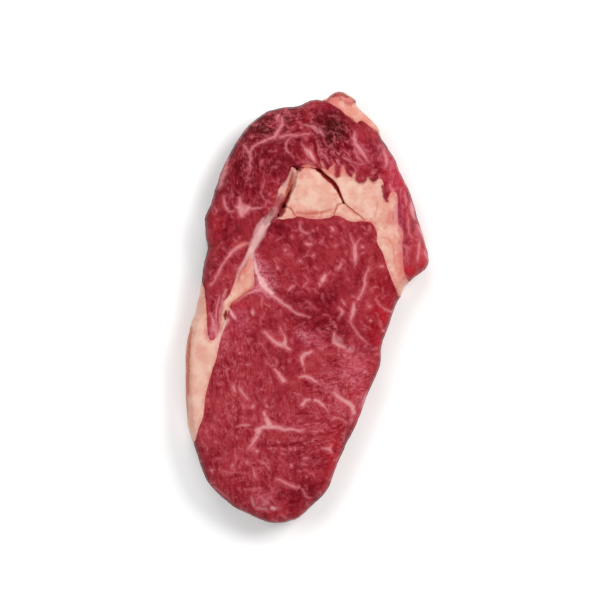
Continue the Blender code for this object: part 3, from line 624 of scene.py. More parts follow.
SALMON = [
    # fat flushed by blood: over the hard fat, beside the upper crack and along borders
    (0.85, 0.90, ((301.5, 167.6), (308, 166.8), (315, 168.4))),
    (1.30, 0.25, ((305.5, 149), (309.5, 155), (313, 161.5))),
    (2.10, 0.45, ((291, 206.5), (297, 208), (305, 208.5))),
    (0.50, 0.70, ((319, 165), (322, 168.5), (327, 173))),
    (0.90, 0.80, ((249.8, 261), (248.6, 266.7), (247.8, 271))),
    (0.90, 0.40, ((257, 241.5), (252, 244), (244, 243.6), (237.5, 247.6))),
    (0.60, 0.60, ((327.5, 99.5), (333, 104), (342, 110.8), (349, 116.5), (356, 123.5))),
    (0.60, 0.70, ((361.7, 114.4), (366, 119.5), (371, 126), (375, 131))),
    (0.70, 0.60, ((342.4, 167.3), (342.6, 174))),
    (0.70, 0.30, ((370.5, 172.5), (376, 170.6))),
    (1.10, 0.55, ((393, 190), (393.5, 196.5))),
    (1.50, 0.40, ((381, 232), (385.5, 237), (389, 244))),
    (0.90, 0.30, ((397, 254), (398, 262), (402, 273), (408, 279))),
    (0.60, 0.30, ((393.5, 262), (396, 270), (400, 280))),
]
print("strokes of stains:", len(BROWN_STAINS_AND_SHADE) + len(SALMON))

# %% [markdown]
# ## Creases and cracks
#
# Creases are soft grooves with painted shade in them. The cracks beside the hard fat are open, and the
# solids already have a gap for each, but a gap alone is too even. A list of strokes paints shade into the
# cracks' mouths and widens them, and paints the shadow of a small hole. FILLED marks the ends of two
# cracks that lie inside one muscle, where juice fills them up. CRACKS tells how deep each crack stays
# open: its second number is 1 for the deepest and near 0 for one that is hardly more than a line.

# %% Creases and cracks
SHADED_CREASES = [
    # soft grooves, darkened by painted shade
    (0.8, 0.50, ((208, 249), (218, 243), (230, 236), (240, 228))),
    (0.30, 0.60, ((246.6, 265.5), (244.8, 268))),
    (1.2, 0.25, ((312, 321), (325, 332), (341, 344), (360, 352))),
]
CRACK_SHADE_STROKES = [
    # painted shadow in the small hole beside the flake of fat
    ((0.35, 1.15), 1.00, ((226.4, 310.4), (226.4, 314.8))),
    ((1.15, 0.40), 1.00, ((226.4, 314.8), (226, 319))),
    # painted shade in the mouths of the cracks, wider than the gap between the solids
    ((0.60, 1.35), 1.00, ((316.5, 170.3), (322.4, 174.9), (328.4, 180.1))),
    ((1.35, 1.00), 1.00, ((328.4, 180.1), (333.4, 184.2), (337.2, 191))),
    ((1.00, 0.40), 0.75, ((337.2, 191), (340, 196.4), (343.5, 202.8))),
    (1.00, 0.50, ((293.6, 172.5), (291.8, 180), (290, 187), (287.2, 195))),
    (0.75, 0.95, ((298.4, 170), (300.6, 169.6))),
    (0.45, 0.70, ((301, 169), (303.5, 168.6))),
    ((0.50, 0.85), 0.55, ((287, 160.4), (292.5, 164), (298, 168.4))),
    (0.55, 0.75, ((297.6, 171.5), (295.9, 178), (293.9, 186), (291.4, 193), (288.8, 198.5))),
    ((0.50, 1.15), 0.95, ((291.5, 190), (287.5, 199), (284.2, 206))),
    ((1.20, 1.00), 0.90, ((285.4, 206), (283.6, 211), (280.6, 216))),
    ((0.70, 0.95), 1.00, ((313.4, 141), (314.8, 146), (315.6, 150))),
    ((0.95, 0.40), 0.60, ((315.6, 150), (317.4, 157), (319, 162.5))),
    ((0.40, 0.20), 0.70, ((319, 162.5), (320.4, 167))),
    (0.30, 0.60, ((310, 168.9), (315, 169.6), (318, 171))),
]
FILLED = [
    # the ends of the cracks, where juice fills them up
    (1.30, 1.0, ((283.5, 158.8), (290, 163.4), (293.6, 166.2))),
    (1.00, 1.0, ((316.4, 154), (317.4, 159), (319.4, 165.4))),
]
CRACKS = [
    # the open cracks round the hard fat
    (0.9, 0.1, ((291.5, 164.2), (294.5, 167), (297, 169.6))),
    (0.9, 0.2, ((296.6, 169), (295.5, 175.5), (293.6, 183))),
    (0.9, 0.4, ((292.6, 186), (288.5, 196), (284.5, 203.6), (280.5, 212))),
    (0.5, 0.15, ((298, 168.5), (308, 168), (316, 169.8))),
    (0.9, 1.0, ((320.2, 171.5), (325.2, 176.4), (333, 182.7), (336.4, 187.5), (339.8, 195),
                (343.8, 203))),
    (0.5, 0.05, ((343.8, 203), (348.8, 208), (354.8, 212.8), (360, 216.4), (364, 221))),
    (0.6, 0.1, ((313.8, 143), (315.3, 151), (317.3, 159), (320.2, 168))),
    (0.4, 0.05, ((284, 207.3), (288, 208), (292, 211), (295.7, 216.5))),
    (0.4, 0.05, ((344, 203.5), (337, 205), (335.5, 209.6), (333.7, 215.7))),
]
print("strokes of creases and cracks:", len(SHADED_CREASES + CRACK_SHADE_STROKES + FILLED + CRACKS))

# %% [markdown]
# ## Tones
#
# Muscle isn't one red. The cap is darkest over the hard fat, the meat is warmest along the right rims,
# where it has met the air longest, and there the warmer red is also painted light. It is cooler where film
# shines through, and in part that cooler red is painted sheen. A painted mask could hold this, but a few
# soft round patches are easier to move. Each has a middle, how far it reaches across and down, and an
# amount. More lists say where hair-thin threads show, and where the fat is flushed or stained.

# %% Tone patches
TONES = (
    # middle in pixels, reach across and down in pixels, amount from dark to light
    ((334, 129), (14, 26), -1.40), ((300, 120), (30, 20), -0.40), ((255, 130), (38, 30), -0.55),
    ((240, 180), (30, 40), -0.50), ((280, 165), (18, 16), -0.50), ((225, 238), (16, 20), -0.35),
    ((215, 310), (9, 26), -0.15), ((376, 160), (18, 30), -0.25), ((398, 190), (14, 40), 0.22),
    ((414, 258), (14, 20), 0.35), ((300, 240), (40, 22), -0.14), ((325, 325), (34, 16), -0.52),
    ((320, 295), (36, 14), -0.20), ((230, 380), (24, 60), 0.10), ((300, 455), (20, 16), -0.22),
    ((350, 372), (15, 26), 0.20), ((306, 492), (20, 12), -0.55), ((372, 338), (10, 16), -0.30),
    ((344, 440), (12, 20), -0.15), ((276, 130), (30, 12), -0.20), ((278, 229), (9, 9), -0.45),
    ((322, 297), (28, 8), -0.20),
)
# Where the red is warmer and purer, along the right rims: partly painted light
WARMTHS_AND_RIM_LIGHT = (
    ((382, 330), (11, 40), 0.9), ((360, 412), (11, 36), 0.9), ((336, 470), (10, 34), 0.8),
    ((310, 515), (20, 7), 0.7), ((424, 250), (8, 30), 0.8), ((398, 178), (13, 34), 0.8),
    ((270, 516), (22, 6), 0.6), ((330, 98), (14, 8), 0.6), ((215, 225), (9, 14), 0.4),
    ((412, 272), (12, 7), 0.9), ((240, 306), (14, 6), 0.4),
)
# Where it is cooler, towards magenta: film that shines through, partly painted sheen
COOLNESS_AND_SHEEN = (
    ((402, 206), (7, 24), 0.9), ((394, 172), (9, 16), 0.5), ((330, 105), (20, 8), 0.3),
    ((366, 150), (14, 16), 0.3), ((240, 322), (8, 14), 0.5), ((305, 338), (14, 9), 0.4),
)
# Where hair-thin threads of fat show
HAIRY = (
    ((235, 385), (34, 60), 0.60), ((320, 425), (34, 30), 0.60), ((345, 375), (24, 30), 0.90),
    ((250, 470), (34, 30), 0.3), ((340, 150), (26, 18), 0.80), ((395, 190), (12, 50), 0.35),
    ((245, 160), (24, 40), 0.35), ((222, 300), (10, 30), 0.4), ((280, 122), (34, 14), 0.40),
)
print("patches of the lean:", len(TONES + WARMTHS_AND_RIM_LIGHT + COOLNESS_AND_SHEEN + HAIRY))

# %% Patches of the fat
# Where it is flushed pink
BLUSHES = (
    ((312, 213), (18, 3.0), 0.75), ((304, 175), (8, 6), 0.30), ((334, 99), (11, 6), 1.00),
    ((350, 102), (7, 5), 0.80), ((367, 123), (7, 10), 0.50), ((380, 170), (10, 6), 0.40),
    ((402, 258), (9, 30), 0.75), ((375, 222), (14, 10), 0.35), ((313, 217.5), (16, 2), 0.35),
    ((297, 196), (3.5, 14), 0.25), ((341, 172), (13, 6), 0.40), ((238, 272), (8, 14), 0.45),
    ((246, 290), (8, 6), 0.3), ((333, 173), (10, 5), 0.35), ((392, 215), (8, 22), 0.45),
    ((362, 192), (24, 20), 0.16), ((206, 335), (5, 8), 0.25), ((345, 110), (12, 4), 0.35),
    ((356, 112), (9, 7), 0.30), ((352, 212), (8, 6), 0.35), ((246, 268), (6, 12), 0.55),
    ((300, 176), (9, 7), 0.25), ((336, 196), (4, 14), 0.25),
)
# Where it has faint brown stains
STAINS = (
    ((306, 194), (2.2, 2.2), 0.7), ((321, 200), (3.2, 3.2), 0.7), ((298, 202), (2.5, 1.6), 0.4),
    ((323.5, 196), (2, 3), 0.4), ((207, 375), (3, 4), 0.3), ((360, 113), (14, 12), 0.45),
    ((244, 276), (9, 12), 0.35),
)


def patches_at(points, patches):
    """The sum of soft patches at each of the points."""
    total = np.zeros(len(points))
    for pixel, reach, amount in patches:
        x, y = place(pixel)
        across = (points[:, 0] - x) / (reach[0] * MM_PER_PIXEL)
        down = (points[:, 1] - y) / (reach[1] * MM_PER_PIXEL)
        total += amount * np.exp(-(across ** 2 + down ** 2))
    return total


print("patches of the fat:", len(BLUSHES + STAINS))

# %% [markdown]
# ## The grain
#
# Muscle fibres run roughly upright through a steak, so the cut face shows their ends, drawn out into
# short streaks wherever the knife met them at a slant. One stretched noise would give the whole face one
# direction. Three directions cover it better: a point's share of each changes softly from one part to the
# next, and the same shares steer the flecks and the streaks of the materials.

# %% Directions of the grain
GRAINS = {"upright": 97.0, "level": 8.0, "leaning": 128.0}  # degrees from +X
GRAIN_PATCHES = {
    "upright": (((240, 390), (50, 80), 1.6), ((215, 310), (20, 40), 1.5), ((245, 170), (26, 50), 1.2),
                ((395, 210), (20, 60), 1.2)),
    "level": (((320, 440), (34, 60), 1.3), ((280, 130), (40, 14), 1.0), ((320, 330), (40, 14), 0.8),
              ((345, 368), (30, 20), 1.6)),
    "leaning": (((345, 405), (28, 30), 0.6), ((355, 140), (26, 30), 1.5), ((320, 250), (50, 40), 0.7)),
}
GRAIN_FLOOR = 0.25  # what every direction has everywhere, before the shares are made to sum to 1


def grain_shares(points):
    """The share of each direction of GRAINS at each point; the shares sum to 1."""
    raw = np.stack([GRAIN_FLOOR + patches_at(points, GRAIN_PATCHES[name]) for name in GRAINS], axis=1)
    return raw / raw.sum(axis=1, keepdims=True)


shares_at_origin = grain_shares(np.zeros((1, 2)))[0].round(2).tolist()
print("grain over the origin:", dict(zip(GRAINS, shares_at_origin)))

# %% [markdown]
# ## Small flecks
#
# Between the named strokes the lean is full of hair-thin broken threads of fat, one to four millimetres
# long, that follow the grain. Nobody would place a thousand of them by hand, and a noise texture makes
# spots rather than threads. So short bent strokes are scattered evenly over the steak with a fixed seed,
# and each turns along the grain where it lies. The crumbs get their shapes from the same seeded draws.

# %% Scatter the flecks
FLECKS = 1100
FLECK_LENGTH = (0.8, 4.2)       # mm
FLECK_HALF_WIDTH = (0.12, 0.34)
FLECK_STRENGTH = (0.2, 0.80)
FLECK_STEPS = 3
FLECK_TURN = 14                 # degrees by which a fleck strays from the grain
FLECK_BEND = 0.5                # radians of bend at each step
CRUMB_SPREAD = (0.2, 0.55)      # mm from the middle of a crumb to its corners
BRIGHT_CRUMB = ((0.55, 0.85), (0.70, 0.95))     # half widths in mm, and strengths
DULL_CRUMB = ((0.40, 0.65), (0.4, 0.7))
scatter = random.Random(7)


def fleck():
    """One short thread of fat at a random place over the steak."""
    low, high = CAD_BOX
    x = scatter.uniform(low.x, high.x) / MM
    y = scatter.uniform(low.y, high.y) / MM
    shares = grain_shares(np.array([[x, y]]))[0]
    direction = scatter.choices(list(GRAINS.values()), weights=list(shares ** 2))[0]
    angle = math.radians(direction + scatter.gauss(0, FLECK_TURN))
    bend = scatter.gauss(0, FLECK_BEND)
    length = scatter.uniform(*FLECK_LENGTH)
    points = [(x, y)]
    for _ in range(FLECK_STEPS):
        x += math.cos(angle) * length / FLECK_STEPS
        y += math.sin(angle) * length / FLECK_STEPS
        angle += bend
        points.append((x, y))
    return (scatter.uniform(*FLECK_HALF_WIDTH), scatter.uniform(*FLECK_STRENGTH), points)


def crumb(pixel, half_widths, strengths):
    """A crumb of fat of a random shape at this pixel."""
    x, y = place(pixel)
    spread = scatter.uniform(*CRUMB_SPREAD)
    corners = [(x + scatter.gauss(0, spread), y + scatter.gauss(0, spread)) for _ in range(3)]
    return (scatter.uniform(*half_widths), scatter.uniform(*strengths), corners)


def strokes_in_mm(strokes):
    return [(half, strength, [place(pixel) for pixel in line]) for half, strength, line in strokes]


ALL_VEINS = strokes_in_mm(VEINS) + [fleck() for _ in range(FLECKS)]
ALL_VEINS += [crumb(pixel, *DULL_CRUMB) for pixel in SPECKS]
ALL_VEINS += [crumb(pixel, *BRIGHT_CRUMB) for pixel in BRIGHT_SPECKS]
print("veins, crumbs and flecks:", len(ALL_VEINS))

# %% [markdown]
# ## How far a point is from a stroke
#
# The shader needs to know, at each point of the surface, how deep inside a thread of fat it is or how far
# outside. Distances in millimetres are better for this than painted masks: they change evenly between the
# mesh's points, so an edge drawn from them stays sharp, and noise added to them makes it ragged.

# %% Distance to one stroke
TAPERED_END = 0.45  # how wide a stroke's ends are, as a share of its middle
TAPER_POWER = 0.6   # below 1, so that it narrows only near the ends


def near_stroke(points, line, reach):
    """The indices of the points within reach of the stroke's box."""
    corners = np.array(line)
    low, high = corners.min(axis=0) - reach, corners.max(axis=0) + reach
    return np.nonzero(((points >= low) & (points <= high)).all(axis=1))[0]


def width_along(half_width, share):
    """The half width at this share of the stroke's length: a wedge for two widths, tapered ends for one."""
    if np.ndim(half_width):
        return half_width[0] + (half_width[1] - half_width[0]) * share
    return half_width * (TAPERED_END + (1 - TAPERED_END) * np.sin(np.pi * share) ** TAPER_POWER)


def stroke_distance(points, line, half_width):
    """The distance from each point to the stroke's edge, negative inside it."""
    corners = np.array(line)
    if len(corners) == 1:
        return np.linalg.norm(points - corners[0], axis=1) - half_width
    lengths = np.linalg.norm(np.diff(corners, axis=0), axis=1)
    start_share = np.concatenate([[0.0], np.cumsum(lengths)]) / lengths.sum()
    best = np.full(len(points), np.inf)
    for i, length in enumerate(lengths):
        along = corners[i + 1] - corners[i]
        share = np.clip((points - corners[i]) @ along / length ** 2, 0.0, 1.0)
        gap = np.linalg.norm(points - corners[i] - share[:, None] * along, axis=1)
        whole_share = start_share[i] + share * (start_share[i + 1] - start_share[i])
        best = np.minimum(best, gap - width_along(half_width, whole_share))
    return best


outside = stroke_distance(np.array([[3.0, 0.0]]), [(0.0, 0.0)], 1.0)[0]
print("from a point 3 mm away to a dot with a half width of 1 mm:", outside, "mm")

# %% [markdown]
# ## Many strokes at once
#
# Two questions come up again and again: how far is the nearest stroke of a list, and how much does a list
# cover a point. Both skip the points outside a stroke's box, which makes them fast enough for half a
# million points. A stroke's sides are ruled curves, so the places are first moved a little by smooth
# noise. That noise gets a seed of its own, because without one it would move the strokes in another way
# in each run.

# %% Distances and cover of many strokes
FAR = 3.0  # mm; a point further than this from every stroke has this distance
WANDER = ((5.0, 0.55), (1.6, 0.30))  # over this many mm the places stray by up to this many mm
WANDER_SEED = 23  # without a seed, the noise that moves the strokes is another one in each run
noise.seed_set(WANDER_SEED)


def ease(value, start, end):
    """0 at start, 1 at end, and smooth between them."""
    t = np.clip((value - start) / (end - start), 0.0, 1.0)
    return t * t * (3 - 2 * t)


def wandering(points):
    """The points moved a little by smooth noise, which takes the ruled look off everything drawn at them."""
    moved = points.copy()
    for length, amount in WANDER:
        shifts = [noise.noise_vector(Vector((x, y, 0.0)) / length)[:2] for x, y in points]
        moved += amount * np.array(shifts)
    return moved


def coverage(points, strokes, soft):
    """How much these strokes cover each point, from 0 to 1, with an edge that is soft over this many mm."""
    share = np.zeros(len(points))
    for half_width, strength, line in strokes:
        chosen = near_stroke(points, line, soft + np.max(half_width))
        distance = stroke_distance(points[chosen], line, half_width)
        share[chosen] = np.maximum(share[chosen], strength * ease(distance, soft, -soft))
    return share


def distance_to_strokes(points, strokes):
    """For each point, the distance to the edge of the nearest stroke, negative inside, and its strength."""
    distance = np.full(len(points), FAR)
    strength = np.zeros(len(points))
    for half_width, force, line in strokes:
        chosen = near_stroke(points, line, FAR + np.max(half_width))
        if not len(chosen):
            continue
        found = stroke_distance(points[chosen], line, half_width)
        nearer = found < distance[chosen]
        distance[chosen[nearer]] = found[nearer]
        strength[chosen[nearer]] = force
    return distance, strength


to_origin, _ = distance_to_strokes(np.zeros((1, 2)), ALL_VEINS)
print("from the origin to the nearest fat:", round(to_origin[0], 2), "mm")

# %% [markdown]
# ## One smooth cut face
#
# The solids' cut face is made of flat triangles a few millimetres wide, which would show under a wet
# sheen. Subdivision would round their edges, but it would pull in the outline too. So rays sent down on a
# fine grid read the face's height, and blurring the grid gives one smooth face for all the pieces, so
# that neighbours meet without a step. Cracks are left out of the blur, and near the rim the solids' own
# shape is kept, because there it falls away too fast for a height grid.

# %% Read the cut face's height
GRID_STEP = 1.0     # mm
MARGIN = 14.0       # mm of empty grid round the steak
RAYS_FROM = 60.0    # mm above the floor


def tree_of(nodes):
    """One search tree over the surfaces of these CAD nodes, in mm."""
    vertices, triangles = [], []
    for node in nodes:
        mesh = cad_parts[node].data
        start = len(vertices)
        vertices += [v.co / MM for v in mesh.vertices]
        triangles += [[start + i for i in face.vertices] for face in mesh.polygons]
    return BVHTree.FromPolygons(vertices, triangles)


low, high = (np.array(corner[:2]) / MM for corner in CAD_BOX)
GRID_LOW = low - MARGIN
GRID_SHAPE = tuple(int(n) for n in (high - low + 2 * MARGIN) / GRID_STEP + 1)
whole_tree = tree_of(LEAN_NODES + FAT_NODES)
heights = np.zeros(GRID_SHAPE)
for column in range(GRID_SHAPE[0]):
    for row in range(GRID_SHAPE[1]):
        above = Vector((GRID_LOW[0] + column * GRID_STEP, GRID_LOW[1] + row * GRID_STEP, RAYS_FROM))
        hit, _, _, _ = whole_tree.ray_cast(above, Vector((0, 0, -1)))
        heights[column, row] = hit.z if hit else 0.0
print("heights read at", heights.size, "places")

# %% Blur the heights into one face
FACE_BLUR = 2.2     # mm
RIM_BLUR = 3.4      # mm
BLUR_REACH = 3      # how many times its width the blur reaches
LOWEST_FACE = 1.0   # mm above the floor; lower places aren't meat
CRACK_DROP = 0.5    # mm below the blurred face from which a place counts as part of a crack
HARDLY_ANY = 1e-3   # keeps the divisions below away from zero


def blurred(grid, width):
    """The grid after a Gaussian blur of this width in mm."""
    reach = int(BLUR_REACH * width / GRID_STEP)
    offsets = np.arange(-reach, reach + 1)
    weights = np.exp(-((offsets * GRID_STEP / width) ** 2) / 2)
    weights /= weights.sum()
    for axis in (0, 1):
        grid = np.apply_along_axis(lambda line: np.convolve(line, weights, mode="same"), axis, grid)
    return grid


def blurred_over(grid, places, width):
    """The grid blurred over these places alone."""
    return blurred(grid * places, width) / np.maximum(blurred(places, width), HARDLY_ANY)


def read_grid(grid, points):
    """The grid's value at each point, between its samples."""
    spot = (points - GRID_LOW) / GRID_STEP
    corner = np.clip(spot.astype(int), 0, np.array(GRID_SHAPE) - 2)
    u, v = (spot - corner).T
    i, j = corner.T
    lower = grid[i, j] * (1 - u) + grid[i + 1, j] * u
    upper = grid[i, j + 1] * (1 - u) + grid[i + 1, j + 1] * u
    return lower * (1 - v) + upper * v


covered = (heights > LOWEST_FACE).astype(float)
rough = blurred_over(heights, covered, FACE_BLUR)
level = covered * (heights > rough - CRACK_DROP)
FACE = blurred_over(heights, level, FACE_BLUR)
INNER = blurred(covered, RIM_BLUR)  # about 0.5 on the outline and 1 well inside it
on_meat = FACE[covered > 0]
print("cut face from", round(on_meat.min(), 1), "to", round(on_meat.max(), 1), "mm high")

# %% [markdown]
# ## A fine surface for each solid
#
# Each piece begins as a copy of its solid. Subdivision would keep the long thin triangles of the solid,
# and relief on them would look torn, so the copy is remeshed into even quads a little smaller than a
# pixel of the photograph. The two muscles would then have more triangles than MOST_TRIANGLES. Their
# underside and lower walls show least, so points are taken out there.

# %% Remesh
FINENESS = 0.42             # mm between the points of a piece
MOST_TRIANGLES = 190_000    # in one piece
FULLY_FINE_ABOVE = 12.0     # mm above the floor; points lower than this are thinned out
WELD_WITHIN = 1e-6          # m


def points_of(mesh):
    flat = np.zeros(len(mesh.vertices) * 3)
    mesh.vertices.foreach_get("co", flat)
    return flat.reshape(-1, 3) / MM


def normals_of(mesh):
    flat = np.zeros(len(mesh.vertices) * 3, np.float32)
    mesh.vertex_normals.foreach_get("vector", flat)
    return flat.reshape(-1, 3).astype(float)


def set_points(mesh, points):
    mesh.vertices.foreach_set("co", (points * MM).astype(np.float32).ravel())
    mesh.update()


def mesh_with_modifiers(made):
    graph = bpy.context.evaluated_depsgraph_get()
    return bpy.data.meshes.new_from_object(made.evaluated_get(graph))


def thin_out(made):
    """Takes points out of the underside and the lower walls, when the piece has more triangles than
    MOST_TRIANGLES.
    """
    triangles = 2 * len(made.data.polygons)
    if triangles <= MOST_TRIANGLES:
        return
    low = made.vertex_groups.new(name="low")
    heights = points_of(made.data)[:, 2]
    low.add(np.nonzero(heights < FULLY_FINE_ABOVE)[0].tolist(), 1.0, "REPLACE")
    fewer = made.modifiers.new("fewer", "DECIMATE")
    fewer.ratio = MOST_TRIANGLES / triangles
    fewer.vertex_group = low.name
    mesh = mesh_with_modifiers(made)
    made.modifiers.clear()
    made.vertex_groups.clear()
    dense = made.data
    made.data = mesh
    bpy.data.meshes.remove(dense)


def fine_copy(node, name, fineness):
    """A new object with the node's shape in even small quads."""
    coarse = bpy.data.objects.new(name + "_coarse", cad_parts[node].data.copy())
    bpy.context.scene.collection.objects.link(coarse)
    weld = coarse.modifiers.new("weld", "WELD")
    weld.merge_threshold = WELD_WITHIN
    fine = coarse.modifiers.new("fine", "REMESH")
    fine.mode = "VOXEL"
    fine.voxel_size = fineness * MM
    mesh = mesh_with_modifiers(coarse)
    bpy.data.objects.remove(coarse)
    mesh.name = name
    mesh.materials.clear()
    made = bpy.data.objects.new(name, mesh)
    bpy.context.scene.collection.objects.link(made)
    thin_out(made)
    return made


print("points of a piece", FINENESS, "mm apart")

# %% [markdown]
# ## Smooth the walls and set the face
#
# Remeshing keeps every facet of the solid, so the points away from seams and cracks are moved a little
# towards their neighbours, some rounds long. A smoothing modifier with a vertex group could do the same,
# but the amounts are at hand as numbers, so a short function is simpler. Then the points that look up are
# set to the smooth face.

# %% Smooth and set the face
SMOOTHING = 0.6                     # how far a free point moves in one round
SMOOTHING_ROUNDS = 8
FREE_OF_SEAM = (0.7, 1.6)           # mm from the other kind of piece at which it starts, and is full
FREE_OF_CRACK = (0.4, 1.8)          # the same from a crack
WELL_WITHIN = (0.80, 0.97)          # values of INNER between which the smooth face takes over
LOOKS_UP = (0.25, 0.6)              # upward part of the normal from which a point is on the face
FACE_WITHIN = 1.5                   # mm below the smooth face down to which a point can be on it


def smoothed(points, edges, amount):
    """The points after each has moved, some rounds long, towards the mean of its neighbours.

    amount says, for each point, how much of the way it goes in one round.
    """
    count = len(points)
    start, end = np.concatenate([edges, edges[:, ::-1]]).T
    degree = np.bincount(start, minlength=count)
    for _ in range(SMOOTHING_ROUNDS):
        sums = [np.bincount(start, weights=points[end, axis], minlength=count) for axis in range(3)]
        mean = np.stack(sums, axis=1) / degree[:, None]
        points = points + (mean - points) * amount[:, None]
    return points


def smooth_free_parts(mesh, points, gap, crack_distance):
    """The points, smoothed where they are clear of seams and cracks."""
    edges = np.zeros(len(mesh.edges) * 2, int)
    mesh.edges.foreach_get("vertices", edges)
    free = ease(gap, *FREE_OF_SEAM) * ease(crack_distance, *FREE_OF_CRACK)
    return smoothed(points, edges.reshape(-1, 2), SMOOTHING * free)


def lift_to_face(points, face, up, inner):
    """Moves the points that look up onto the smooth face."""
    on_top = ease(up, *LOOKS_UP) * (points[:, 2] > face - FACE_WITHIN)
    points[:, 2] += (face - points[:, 2]) * on_top * inner


print("rounds of smoothing:", SMOOTHING_ROUNDS)

# %% [markdown]
# ## Close the seams and the cracks
#
# Solids that touch have a seam of 0.3 mm between them. In the meat lean and fat are grown together, so
# that seam is closed: each side moves a little more than half the way. Joining the two meshes into one
# would close it too, but then they wouldn't be pieces of their own. Between two pieces of fat the seam
# stays, because those are cracks in the photograph. A crack that stayed open down to the floor would show
# white in its depth, so its walls lean together below the face. The filled ends are lifted to just below
# the face.

# %% Close the seams and the cracks
SEAM_REACH = 0.62           # mm; points nearer to the other kind of piece than this are moved to meet it
HALF_SEAM = 0.13            # mm that is left between such a point and the other solid
AT_FACE = 0.5               # how much of the way a point has to be lifted to count as one on the face
SEAM_TOP = 0.45             # mm below the smooth face within which such a point is lifted to it
WALL_SLOPE = 0.6            # a wall's normal has less than this upwards
CRACK_REACH = 1.0           # mm from a crack's stroke within which a wall belongs to it
WIDEST_CRACK = 2.5          # mm
LEAST_OPEN = 0.05           # keeps the division by a crack's depth away from zero
CRACK_CLOSES = (0.0, 1.3)   # depths in mm at which the deepest crack starts to close, and is shut
WALL_SHIFT = 0.52           # of the gap, which each wall moves where it closes, so that the two meet
FILLED_DEPTH = 0.25         # mm that a filled crack is deep
FILLED_DOWN_TO = 6.0        # mm; points deeper than this aren't part of a filled crack
FILLED_EDGE = 0.3           # mm
TINY = 1e-6                 # mm


def nearest_on(tree, points):
    """For each point, the nearest point of the tree's surface."""
    return np.array([tree.find_nearest(Vector(point))[0] for point in points])


def fill_crack_ends(points, face):
    near_top = face - points[:, 2] < FILLED_DOWN_TO
    filled = coverage(points[:, :2], strokes_in_mm(FILLED), FILLED_EDGE) * near_top
    points[:, 2] += np.maximum(face - FILLED_DEPTH - points[:, 2], 0.0) * filled


def close_cracks(points, face, up, toward_rest, crack_distance, crack_depth):
    near_crack = (crack_distance < CRACK_REACH) & (np.linalg.norm(toward_rest, axis=1) < WIDEST_CRACK)
    wall = (np.abs(up) < WALL_SLOPE) & near_crack
    depth = (face - points[:, 2]) / np.maximum(crack_depth, LEAST_OPEN)
    closing = WALL_SHIFT * wall * ease(depth, *CRACK_CLOSES)
    points[:, :2] += toward_rest[:, :2] * closing[:, None]


def close_seam(points, face, toward, gap, inner):
    """Moves the points beside the other kind of piece to meet it, and returns those at the cut face."""
    touching = gap < SEAM_REACH
    flat_gap = np.maximum(np.linalg.norm(toward[:, :2], axis=1), TINY)
    shift = toward[:, :2] / flat_gap[:, None] * np.maximum(flat_gap - HALF_SEAM, 0.0)[:, None]
    points[touching, :2] += shift[touching]
    lifted = touching & (points[:, 2] > face - SEAM_TOP)
    points[lifted, 2] += (face - points[:, 2])[lifted] * inner[lifted]
    return lifted & (inner > AT_FACE)


def shape_piece(mesh, other_tree, rest_tree, crack_distance, crack_depth):
    """Sets the piece's cut face to the smooth face and closes its seams and, lower down, its cracks.

    Returns each point's distance to the other kind of piece, and which points lie on the face at a seam.
    """
    points = points_of(mesh)
    toward_rest = nearest_on(rest_tree, points) - points
    toward = nearest_on(other_tree, points) - points
    gap = np.linalg.norm(toward, axis=1)
    points = smooth_free_parts(mesh, points, gap, crack_distance)
    face = read_grid(FACE, points[:, :2])
    fill_crack_ends(points, face)
    set_points(mesh, points)
    up = normals_of(mesh)[:, 2]
    inner = ease(read_grid(INNER, points[:, :2]), *WELL_WITHIN)
    lift_to_face(points, face, up, inner)
    close_cracks(points, face, up, toward_rest, crack_distance, crack_depth)
    at_seam = close_seam(points, face, toward, gap, inner)
    set_points(mesh, points)
    return gap - HALF_SEAM, at_seam


lean_tree = tree_of(LEAN_NODES)
fat_tree = tree_of(FAT_NODES)
print("each side of a seam moves up to", HALF_SEAM, "mm from the solid on its other side")

# %% [markdown]
# ## What the surface knows
#
# Every point of a piece now gets its fields: distances to the fat and the threads, its cover by each kind
# of stroke, its depth in a crack, its tones, and its place in the grain. Vertex colours could hold the
# finished colour instead, but they would be as coarse as the mesh, while fields let the materials draw
# edges between its points. They are worked out from the point's place alone, so two pieces that meet have
# the same values there, and the seam between them can't be seen. Below the rim the pattern drifts
# sideways with depth and fades, as it does in meat, and the walls are darker than the face.

# %% Fields
RIM_DEPTH = 6.0             # mm below the cut face down to which the rim is seen from above
DRIFT = (0.19, -0.23)       # mm sideways for each mm below that
LOW_THREADS = 0.5           # how strong the threads are far below the face, against 1 on it
LOW_TONES = 0.4             # the same for the tones
WALL_TONE = 0.9             # how much darker the walls are than the cut face
WALL_STARTS = (2.2, 5.0)    # mm below the face between which they darken
CLEFT_INSIDE = (0.72, 0.93)     # values of INNER between which depth starts to count as that of a crack
DEEPEST_CLEFT = 4.0         # mm
CLEFT_ABOVE = 1.0           # mm above the floor
HAIRS_EVERYWHERE = 0.12
UP_AGAINST_ACROSS = 0.3     # how fast the texture changes upwards, against across; fibres run upright
# Some layers paint light and shade: sheen and highlights over the film, and shade in creases, in the cracks'
# mouths and along rims.
LAYERS = {
    # name: strokes, softness of their edge in mm
    "film": (FILM_AND_SHEEN, 0.9),
    "pale_and_highlight": (PALE_AND_PAINTED_HIGHLIGHTS, 0.8),
    "bloom_and_sheen": (BLOOM_AND_SHEEN, 2.4),
    "lobule": (LOBULES, 0.45),
    "dark_rim_and_shade": (DARK_RIMS_AND_SHADE, 0.8),
    "brown_stain_and_shade": (BROWN_STAINS_AND_SHADE, 0.6),
    "salmon": (SALMON, 0.7),
    "crease_shade": (SHADED_CREASES, 0.6),
    "crack_shade": (CRACK_SHADE_STROKES, 0.45),
}
